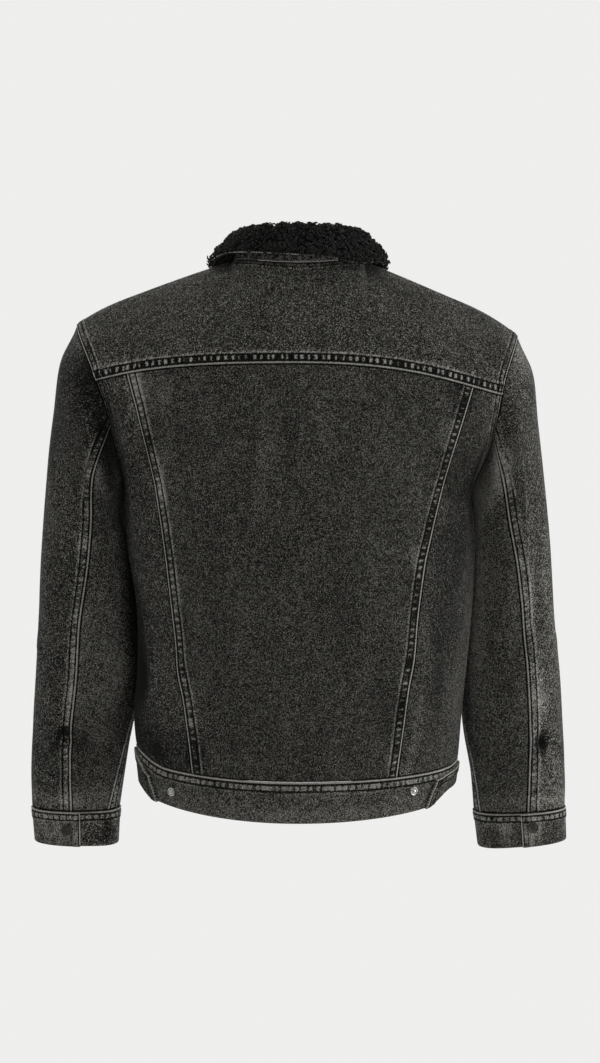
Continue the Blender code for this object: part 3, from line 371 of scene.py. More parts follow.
# How much, and from where to where across: for the waist seam, and for the hem below it.
WAIST_RISE = {LEFT: (0.026, 0.66, 0.96), RIGHT: (0.008, 0.80, 1.00)}
HEM_TUCK = {LEFT: (0.16, 0.76, 0.92), RIGHT: (0.32, 0.66, 0.84)}


def towards_sides(table, s):
    """0 in the middle, with a soft step up to its own size on each side."""
    return sum(size * soft_step(start, end, side * s) for side, (size, start, end) in table.items())


def waist_rise(s):
    """How much higher the waist seam runs towards the side seams, as a height h."""
    return towards_sides(WAIST_RISE, s)


def hem_tuck(s):
    """Share of the waistband's depth by which its hem is drawn up towards the side seams."""
    return towards_sides(HEM_TUCK, s)


print("back, middle of the yoke seam:", BACK.point(np.array([0.0]), np.array([1.0]))[0].round(3))

# %% [markdown]
# ## Seams that pucker
# Every seam here is a felled seam: one piece is folded under and laid over its neighbour, then
# held by two rows of stitches, and washing rubs the fold pale and shrinks the thread, so the
# strip between the rows puckers into small bars.  A picture of a seam would look flat, so each
# panel works out, at every one of its points, how far it is from its edges (d) and how far along
# them (t).  From these two numbers come both a height and a value of wear and painted shading,
# which the cloth material reads; beside a lapped edge that value paints the fold's shadow on the
# piece below.  The grid is finer next to an edge, so that a line one millimetre wide has its
# points.

# %% Distances from the edges of a panel
# Distances in millimetres of the fine grid lines from an edge that shows, and from one that
# lies under the neighbour.
EDGE_LINES = (0, 0.4, 0.9, 1.5, 2.2, 3.0, 3.9, 5.2, 6.6, 8, 9.2, 10.1, 10.9, 11.8, 12.7, 13.7, 15)
HIDDEN_LINES = (0, 0.5, 1.2, 2.2, 3.6)
COARSE = 4               # the inner side of the cloth has one point for this many outside


def line_from(edge, number):
    """Index of the grid line with this number, counted from an edge: low and high are the first
    and last row, first and last the first and last column."""
    at = number if edge in ("low", "first") else -1 - number
    return np.s_[at] if edge in ("low", "high") else np.s_[:, at]


def steps(length, cell, start=HIDDEN_LINES, end=HIDDEN_LINES):
    """Places from 0 to 1 along a length: fine lines at both ends and even cells between, with
    a number of cells that the coarser inner side can share."""
    first = np.array(start) * MM
    last = length - np.array(end)[::-1] * MM
    cells = int(np.ceil((last[0] - first[-1]) / cell))
    cells += -(len(first) + len(last) - 2 + cells) % COARSE
    middle = np.linspace(first[-1], last[0], cells + 1)[1:-1]
    return np.concatenate((first, middle, last)) / length


def edge_distance(points, edge):
    """How far along an edge and how far in from it each point of a grid is.  The way in follows
    the grid's lines, corrected by the sine and cosine of the angle at which they cross."""
    axis = 1 if edge in ("first", "last") else 0
    run = lengths(points, axis)
    ways = [unit(np.gradient(points, axis=k)) for k in (0, 1)]
    cosine = (ways[0] * ways[1]).sum(-1)
    sign = 1.0
    if edge in ("last", "high"):
        run = np.take(run, [-1], axis=axis) - run
        sign = -1.0
    along = np.expand_dims(lengths(points[line_from(edge, 0)], 0), axis)
    return along + sign * run * cosine, run * np.sqrt(1 - np.clip(cosine**2, 0, 0.96))


print("lines across a 400 mm panel:", len(steps(0.4, 2.3 * MM, EDGE_LINES, EDGE_LINES)))


# %% Height and wear of a seam
BAR_PITCH = 7.9 * MM     # from one pucker to the next
PATCH_PITCH = 44.0 * MM  # from one paler stretch of a seam to the next
LAP_RISE = 0.9 * MM      # the lapped edge stands this much over its neighbour
NEAR_ROW = 3.0 * MM      # the two sunk lines, from the fold, on the widest seam
FAR_ROW = 10.4 * MM
INNER_RIM = 4.6 * MM     # two more pale lines, one just past each row
SECOND_LINE = 12.7 * MM
ROLLED_EDGE = (-0.3 * MM, 0.3 * MM, 1.3 * MM, 2.1 * MM)  # where the worn fold starts and ends
PUCKERED = (3.7 * MM, 4.5 * MM, 8.9 * MM, 9.7 * MM)      # and the strip between the rows
RAISED = (-0.2 * MM, 0.7 * MM, 12.6 * MM, 15.0 * MM)     # and the whole lap
FAN_START, FAN_FADE = 13.5 * MM, 4.0 * MM                # wrinkles beyond the seam
FAN_LEAN = 0.45          # how far the wrinkles beyond the seam lean over
MEAN_BEAT = 0.40         # mean of the uneven bumps
BUMP_SHIFT = 0.34        # how far a bump's place goes by chance, in pitches
BUMP_HEIGHT = (0.55, 0.45)  # fixed part and chance part
BUMP_WIDTH = (0.20, 0.10)   # the same, in pitches
SEAM_LOOKS = {
    # width of the band, then how strong: puckers, line inside the first row, the strip's own
    # paleness, second line, fan
    "yoke": (1.03, 1.90, 0.10, 0.30, 2.00, 1.80),
    "waist": (1.05, -0.95, 0.10, 0.55, 0.40, 0.60),
    "slant": (1.06, 0.90, 0.20, 0.65, 1.70, 0.20),
    "dark slant": (1.00, 1.20, 0.10, 0.05, 1.30, 0.20),
    "sleeve": (1.00, 0.70, 0.50, 0.70, 1.60, 0.25),
    "arm": (0.80, 0.30, 0.90, 0.30, 1.60, 0.20),
    "cuff": (0.98, -1.00, 0.20, 0.65, 0.50, 0.50),
    "edge": (0.70, 0.20, 0.50, 0.10, 0.30, 0.10),
}


def bars(t, seed, pitch):
    """Uneven bumps along t: each pitch has one bell, whose place, height and width come from a
    fixed list of chances, and the three nearest bells are added up."""
    chance = np.random.default_rng(seed).uniform(size=(512, 3))
    cell = np.floor(t / pitch).astype(int)
    total = np.zeros(np.shape(t))
    for near in (-1, 0, 1):
        own = chance[(cell + near) % len(chance)]
        middle = (cell + near + 0.5 + BUMP_SHIFT * (own[..., 0] - 0.5)) * pitch
        height, wide = by_chance(BUMP_HEIGHT, own[..., 1]), by_chance(BUMP_WIDTH, own[..., 2])
        total += height * bell(t, middle, pitch * wide)
    return total


def lapped(t, d, seed, power, look="yoke"):
    """Height and wear on the piece that lies on top: a rounded fold, two sunk rows of stitches,
    puckers between them, and fine wrinkles that fan out beyond the second row."""
    size, pucker, inside, middle, outside, fanning = SEAM_LOOKS[look]
    d = d / size
    beat = bars(t, seed, BAR_PITCH)
    block = soft_step(0.30, 0.72, beat)
    patch = bars(t, seed + 1, PATCH_PITCH)
    fan = bars(t + FAN_LEAN * (d - FAR_ROW), seed + 2, 0.8 * BAR_PITCH) ** 2
    strip, rim, raised = (plateau(d, *places) for places in (PUCKERED, ROLLED_EDGE, RAISED))
    rows = bell(d, NEAR_ROW, 0.80 * MM) + bell(d, FAR_ROW, 0.65 * MM)
    second = bell(d, SECOND_LINE, 1.0 * MM)
    beyond = soft_step(13.0 * MM, 14.0 * MM, d) * np.exp(-np.maximum(d - FAN_START, 0) / FAN_FADE)
    puckers = 0.75 * MM * pucker * (beat - MEAN_BEAT) * strip
    lift = LAP_RISE * raised - 0.50 * MM * rows
    lift += puckers + 0.35 * MM * fan * (second + beyond) * fanning
    wear = rim * (3.2 + 0.8 * patch) - 2.9 * rows
    wear += bell(d, INNER_RIM, 0.80 * MM) * inside * (0.6 + 0.8 * patch)
    wear += second * (outside * (0.70 + 0.5 * patch) + fanning * (1.2 * fan - 0.2))
    wear += strip * (pucker * (2.2 * block - 0.8) + middle + 0.9 * (patch - 0.45))
    wear += 1.1 * fan * beyond * fanning
    return lift * power, wear * power


def lapping_under(t, d, seed, power):
    """Height, and wear with painted shadow, on the piece below: it dips under the fold, a dark
    band next to the edge paints the fold's shadow on it, and the puckers run on into it and die
    away."""
    beat = bars(t, seed, BAR_PITCH)
    near = np.exp(-d / (4.5 * MM))
    lift = -0.9 * MM * (1 - soft_step(0.0, 2.6 * MM, d)) + 0.55 * MM * (beat - MEAN_BEAT) * near
    # painted shadow: a dark band within 2 mm of the edge, where the lapped fold shades the piece
    # below
    wear = -3.1 * (1 - soft_step(0.8 * MM, 2.0 * MM, d))
    wear += 1.10 * (beat - 0.35) * near * soft_step(1.8 * MM, 3.2 * MM, d)
    return lift * power, wear * power


def hemmed(t, d, seed, power):
    """Height and wear at a folded hem: a rounded, worn edge that waves slightly."""
    beat = bars(t, seed, 1.6 * BAR_PITCH)
    lift = -0.5 * MM * (1 - soft_step(0.0, 1.2 * MM, d))
    lift += 0.25 * MM * (beat - MEAN_BEAT) * np.exp(-d / (8.0 * MM))
    return lift * power, bell(d, 0.6 * MM, 0.7 * MM) * (0.35 + 0.4 * beat) * power


def standing(t, d, seed, power):
    """Wear and painted light of the collar stand: a pale worn line at its seam, and above it a
    mottled strip painted paler to lift it out of the shade of the collar leaf.
    """
    # painted light: above the pale worn seam line the strip is lifted paler, mottled, where the
    # leaf shades it
    mottled_painted_light = 0.8 + 1.4 * (bars(t, seed, 11.0 * MM) - 0.45)
    wear = bell(d, 0.7 * MM, 0.5 * MM) * 2.2 + mottled_painted_light * soft_step(1.5 * MM, 3 * MM, d)
    return 0 * d, wear * power


OTHER_EDGES = {"under": lapping_under, "hem": hemmed, "stand": standing}


def seam_relief(t, d, kind, seed, power):
    """Height, and wear with painted shading, for a kind of edge: one of the lapped looks, or one of
    the others.
    """
    if kind in SEAM_LOOKS:
        return lapped(t, d, seed, power, kind)
    return OTHER_EDGES[kind](t, d, seed, power)


sample = lapped(np.linspace(0, 0.1, 200), np.full(200, 6 * MM), 1, 1.0)[0] / MM
print("puckers between the rows: from", sample.min().round(2), "to", sample.max().round(2), "mm")

# %% [markdown]
# ## Cloth as a closed thin shell
# Real denim is over a millimetre thick, which shows at hems and cuffs.  A Solidify modifier would
# double every triangle, so the shell is built directly: the outer side is the fine grid, the inner
# side takes every fourth point of it, pushed inwards, and many-sided faces close the rim.  What
# is round, such as a curl, a stitch or a button, is a tube of rings with closed ends.


# %% The shell of one piece
APART = 0.37             # metres between the places of two pieces in the grain of the cloth
FAR_AWAY = 0.1           # metres, more than any distance that the rolled edges look at


def new_mesh(name, points, groups):
    """A smooth mesh of points and groups of faces."""
    mesh = bpy.data.meshes.new(name)
    faces = [face for group in groups for face in group.tolist()]
    mesh.from_pydata(points.reshape(-1, 3), [], faces)
    mesh.shade_smooth()
    return mesh


def closed_shell(name, outer, inward, thick):
    """Mesh of a grid and its coarser inner side.  The inner points are the outer ones moved by
    thick along the inward directions."""
    rows, columns = outer.shape[:2]
    inner = (outer + inward * thick)[::COARSE, ::COARSE]
    index = np.arange(rows * columns).reshape(rows, columns)
    inside = np.arange(inner.shape[0] * inner.shape[1]).reshape(inner.shape[:2]) + index.size
    corners = (index[:-1, :-1], index[:-1, 1:], index[1:, 1:], index[1:, :-1])
    backs = (inside[:-1, :-1], inside[1:, :-1], inside[1:, 1:], inside[:-1, 1:])
    around = lambda grid: (grid[0, :-1], grid[:-1, -1], grid[-1, :0:-1], grid[:0:-1, 0])
    rims = [np.concatenate(around(grid)) for grid in (index, inside)]
    fine = rims[0].reshape(-1, COARSE)
    closing = (np.roll(fine[:, 0], -1), fine[:, ::-1], rims[1], np.roll(rims[1], -1))
    faces = [np.stack(group, -1).reshape(-1, 4) for group in (corners, backs)]
    faces.append(np.column_stack(closing))
    middle = (rows // 2, columns // 2)
    below, beside = outer[middle[0] + 1, middle[1]], outer[middle[0], middle[1] + 1]
    slope = np.cross(beside - outer[middle], below - outer[middle])
    if slope @ inward[middle] > 0:
        faces = [group[:, ::-1] for group in faces]
    return new_mesh(name, np.concatenate((outer.reshape(-1, 3), inner.reshape(-1, 3))), faces)


def tubes(name, points, turned_over=False):
    """One mesh of tubes with closed ends, from their points (tube, ring, side).  turned_over is
    for rings that run the other way round."""
    index = np.arange(points[..., 0].size).reshape(points.shape[:3])
    after = np.roll(index, -1, axis=2)
    corners = [index[:, :-1], after[:, :-1], after[:, 1:], index[:, 1:]]
    starts, ends = index[:, 0, ::-1], index[:, -1]
    if turned_over:
        corners = corners[:1] + corners[:0:-1]
        starts, ends = index[:, 0], index[:, -1, ::-1]
    return new_mesh(name, points, (np.stack(corners, -1).reshape(-1, 4), starts, ends))


def wheel(one, other, angles):
    """Points on circles of radius 1 in the planes of two directions."""
    cosine, sine = np.cos(angles)[:, None], np.sin(angles)[:, None]
    return one[..., None, :] * cosine + other[..., None, :] * sine


def keep_on_points(mesh, name, outer_values):
    """Stores a number or a vector for every point: the outer grid's, then every fourth one
    again inside."""
    vector = outer_values.ndim == 3
    width = 3 if vector else 1
    inner_values = outer_values[::COARSE, ::COARSE]
    both = np.concatenate((outer_values.reshape(-1, width), inner_values.reshape(-1, width)))
    kept = mesh.attributes.new(name, "FLOAT_VECTOR" if vector else "FLOAT", "POINT")
    kept.data.foreach_set("vector" if vector else "value", both.astype(np.float32).ravel())


PIECES = {}
GRIDS = {}
STITCH_LINES = []


def add_object(name, data):
    """Puts an object in the scene, at the origin."""
    made = bpy.data.objects.new(name, data)
    bpy.context.scene.collection.objects.link(made)
    return made


def add_piece(mesh, material):
    """Puts a finished mesh in the scene as one more piece."""
    mesh.materials.append(material)
    PIECES[mesh.name] = add_object(mesh.name, mesh)


def count_faces(*words):
    """Prints how many faces the pieces have whose names hold one of the words."""
    chosen = {n: p for n, p in PIECES.items() if any(word in n for word in words)}
    print({name: len(piece.data.polygons) for name, piece in chosen.items()})


def keep_stitch_lines(name, outer, normals, edge, look):
    """Keeps the two sunk lines beside an edge, each a mean of the two grid lines around it."""
    reach = np.array(EDGE_LINES) * MM
    for row in (NEAR_ROW, FAR_ROW):
        d = row * SEAM_LOOKS[look][0]
        k = np.searchsorted(reach, d) - 1
        part = (d - reach[k]) / (reach[k + 1] - reach[k])
        here, there = line_from(edge, k), line_from(edge, k + 1)
        line, away = (grid[here] * (1 - part) + grid[there] * part for grid in (outer, normals))
        STITCH_LINES.append((name, line, unit(away)))


def draw_back(points, edge):
    """Moves one edge of a grid half a gap towards the grid's inside."""
    rim, beside = line_from(edge, 0), line_from(edge, 1)
    points[rim] = points[rim] + unit(points[beside] - points[rim]) * GAP / 2


def make_cloth(
    name, points, normals, edges, material, where=None, a=None, b=None, inward=None,
    thick=DENIM_THICK,
):
    """A denim piece from its grid.  edges lists (edge, kind, seed, power); where, a and b place
    it in the tables of creases and of fades with painted shading."""
    lift = sum_of_bells(CREASES, where, a, b) if where else np.zeros(points.shape[:2])
    # fades: wear, plus painted shade and painted highlights, from the table below
    wear = sum_of_bells(FADES_AND_PAINTED_SHADING, where, a, b) if where else np.zeros(points.shape[:2])
    fray = np.zeros(lift.shape)
    twist = np.full(points.shape, FAR_AWAY)
    for edge, kind, seed, power in edges:
        t, d = edge_distance(points, edge)
        higher, seam_wear_and_shading = seam_relief(t, d, kind, seed, power)
        lift += higher
        wear += seam_wear_and_shading
        if kind == "hem":
            fray += 1 - soft_step(0.3 * MM, 1.3 * MM, d)
        if kind in SEAM_LOOKS:
            d = d / SEAM_LOOKS[kind][0]
            nearer = d < twist[..., 1]
            twist[nearer] = np.stack((t, d, np.full(t.shape, power)), -1)[nearer]
    outer = points + normals * lift[..., None]
    for edge, kind, seed, power in edges:
        if kind in SEAM_LOOKS:
            keep_stitch_lines(name, outer, normals, edge, kind)
    for edge, kind, seed, power in edges:
        draw_back(outer, edge)
    mesh = closed_shell(name, outer, -normals if inward is None else inward, thick)
    across, along = lengths(points, 1), lengths(points, 0)
    across -= across[:, [across.shape[1] // 2]]
    along -= along[[along.shape[0] // 2]]
    apart = np.full(lift.shape, APART * len(PIECES))
    keep_on_points(mesh, "cloth", np.stack((across, along, apart), -1))
    keep_on_points(mesh, "seam", twist)
    keep_on_points(mesh, "wear", wear)
    keep_on_points(mesh, "fray", fray)
    add_piece(mesh, material)
    GRIDS[name] = outer


print("cloth is", DENIM_THICK * 1000, "mm thick")

# %% [markdown]
# ## Creases, faded places and painted shading
# A worn and washed jacket keeps small creases where it bends, and it fades on their ridges.  Both
# are laid out here, in each piece's own numbers, as more stretched bells: the creases are
# heights in metres, and the fades are wear together with painted shade and painted highlights,
# where +1 is pale and -1 is dark.  The painted shade darkens the valleys between the sleeves and
# the body and the lower left side of the back beside the sleeve; the painted highlights lighten
# lit fold edges, the shoulder tops and the outer side of the right sleeve.

# %% Fine creases and faded patches
CREASES = {
    # a, b, long, wide, slant, out
    "back": (
        (-0.48, 0.1, 0.1, 0.016, -1.25, 0.0018), (-0.4, 0.07, 0.07, 0.014, -0.9, -0.0012),
        (0.5, 0.08, 0.07, 0.014, 1.2, 0.0013), (0.6, 0.05, 0.05, 0.012, 0.9, -0.0012),
        (0.55, 0.6, 0.2, 0.016, 1.35, 0.0016), (0.96, 0.46, 0.26, 0.04, 1.5, 0.0024),
        (0.8, 0.3, 0.16, 0.02, 1.1, 0.0014), (-0.88, 0.5, 0.34, 0.03, -1.5, -0.0008),
        (-0.8, 0.32, 0.15, 0.018, -1.0, 0.0013), (-0.3, 0.84, 0.1, 0.016, 1.2, -0.0008),
        (0.26, 0.86, 0.12, 0.018, 1.45, 0.0009), (-0.62, 1.22, 0.12, 0.02, 0.5, 0.001),
        (0.7, 1.2, 0.1, 0.02, -0.6, 0.0012), (0.82, 1.1, 0.05, 0.03, -0.9, -0.0012),
        (-0.84, 1.88, 0.14, 0.2, 0.0, 0.0028), (0.86, 1.88, 0.12, 0.18, 0.0, 0.0016),
    ),
    "front": (
        (0.46, 0.08, 0.08, 0.014, 1.1, 0.0015), (-0.52, 0.07, 0.09, 0.014, -1.2, 0.0015),
        (0.84, 0.34, 0.14, 0.02, 1.15, -0.0016), (-0.82, 0.36, 0.14, 0.02, -1.05, -0.0016),
        (0.3, 0.6, 0.22, 0.022, 1.3, 0.001), (-0.34, 0.52, 0.2, 0.022, -1.35, 0.001),
        (-0.84, 1.88, 0.14, 0.2, 0.0, 0.0028), (0.86, 1.88, 0.12, 0.18, 0.0, 0.0016),
    ),
    "left": (
        (0.5, 0.27, 0.1, 0.1, 0.0, 0.003), (0.5, 0.1, 0.06, 0.05, 0.0, 0.003),
        (0.0, 0.08, 0.1, 0.055, 0.0, 0.0025), (1.0, 0.08, 0.1, 0.055, 0.0, 0.0025),
        (0.36, 0.832, 0.06, 0.012, 0.25, -0.0036), (0.41, 0.85, 0.035, 0.02, 0.6, -0.0026),
        (0.4, 0.795, 0.035, 0.012, -0.2, 0.0022), (0.43, 0.885, 0.03, 0.01, 0.9, 0.002),
        (0.28, 0.862, 0.04, 0.01, 0.1, 0.0024), (0.3, 0.8, 0.035, 0.008, 0.75, 0.002),
        (0.28, 0.885, 0.03, 0.008, -0.55, 0.0018), (0.18, 0.815, 0.035, 0.009, 0.1, 0.0015),
        (0.12, 0.56, 0.05, 0.016, 0.5, -0.0016), (0.1, 0.62, 0.05, 0.016, 0.35, 0.0014),
        (0.2, 0.43, 0.06, 0.014, -0.45, 0.0012), (0.27, 0.93, 0.05, 0.016, 0.5, 0.0022),
        (0.44, 0.86, 0.04, 0.014, 0.3, -0.0018), (0.78, 0.56, 0.07, 0.018, 0.4, -0.0022),
        (0.74, 0.62, 0.07, 0.016, 0.25, 0.0018), (0.8, 0.86, 0.06, 0.014, -0.3, -0.002),
    ),
    "right": (
        (0.48, 0.14, 0.07, 0.09, 0.0, 0.0035), (0.0, 0.08, 0.12, 0.06, 0.0, 0.0048),
        (1.0, 0.08, 0.12, 0.06, 0.0, 0.0048), (0.3, 0.83, 0.036, 0.018, 0.15, -0.0055),
        (0.366, 0.83, 0.014, 0.026, 0.0, 0.0024), (0.225, 0.792, 0.034, 0.008, -0.45, 0.0018),
        (0.215, 0.862, 0.036, 0.009, 0.4, 0.002), (0.15, 0.83, 0.03, 0.01, -0.2, 0.0014),
        (0.2, 0.9, 0.05, 0.016, -0.45, 0.0022), (0.3, 0.3, 0.16, 0.012, 1.4, 0.0022),
        (0.25, 0.12, 0.045, 0.012, 1.0, -0.0012), (0.22, 0.47, 0.06, 0.014, -0.4, -0.0012),
        (0.12, 0.58, 0.05, 0.016, -0.45, 0.0014), (0.5, 0.3, 0.08, 0.09, 0.0, 0.0012),
        (0.76, 0.55, 0.07, 0.018, -0.4, -0.0022), (0.72, 0.61, 0.07, 0.016, -0.25, 0.0018),
        (0.82, 0.85, 0.06, 0.014, 0.3, -0.002),
    ),
}
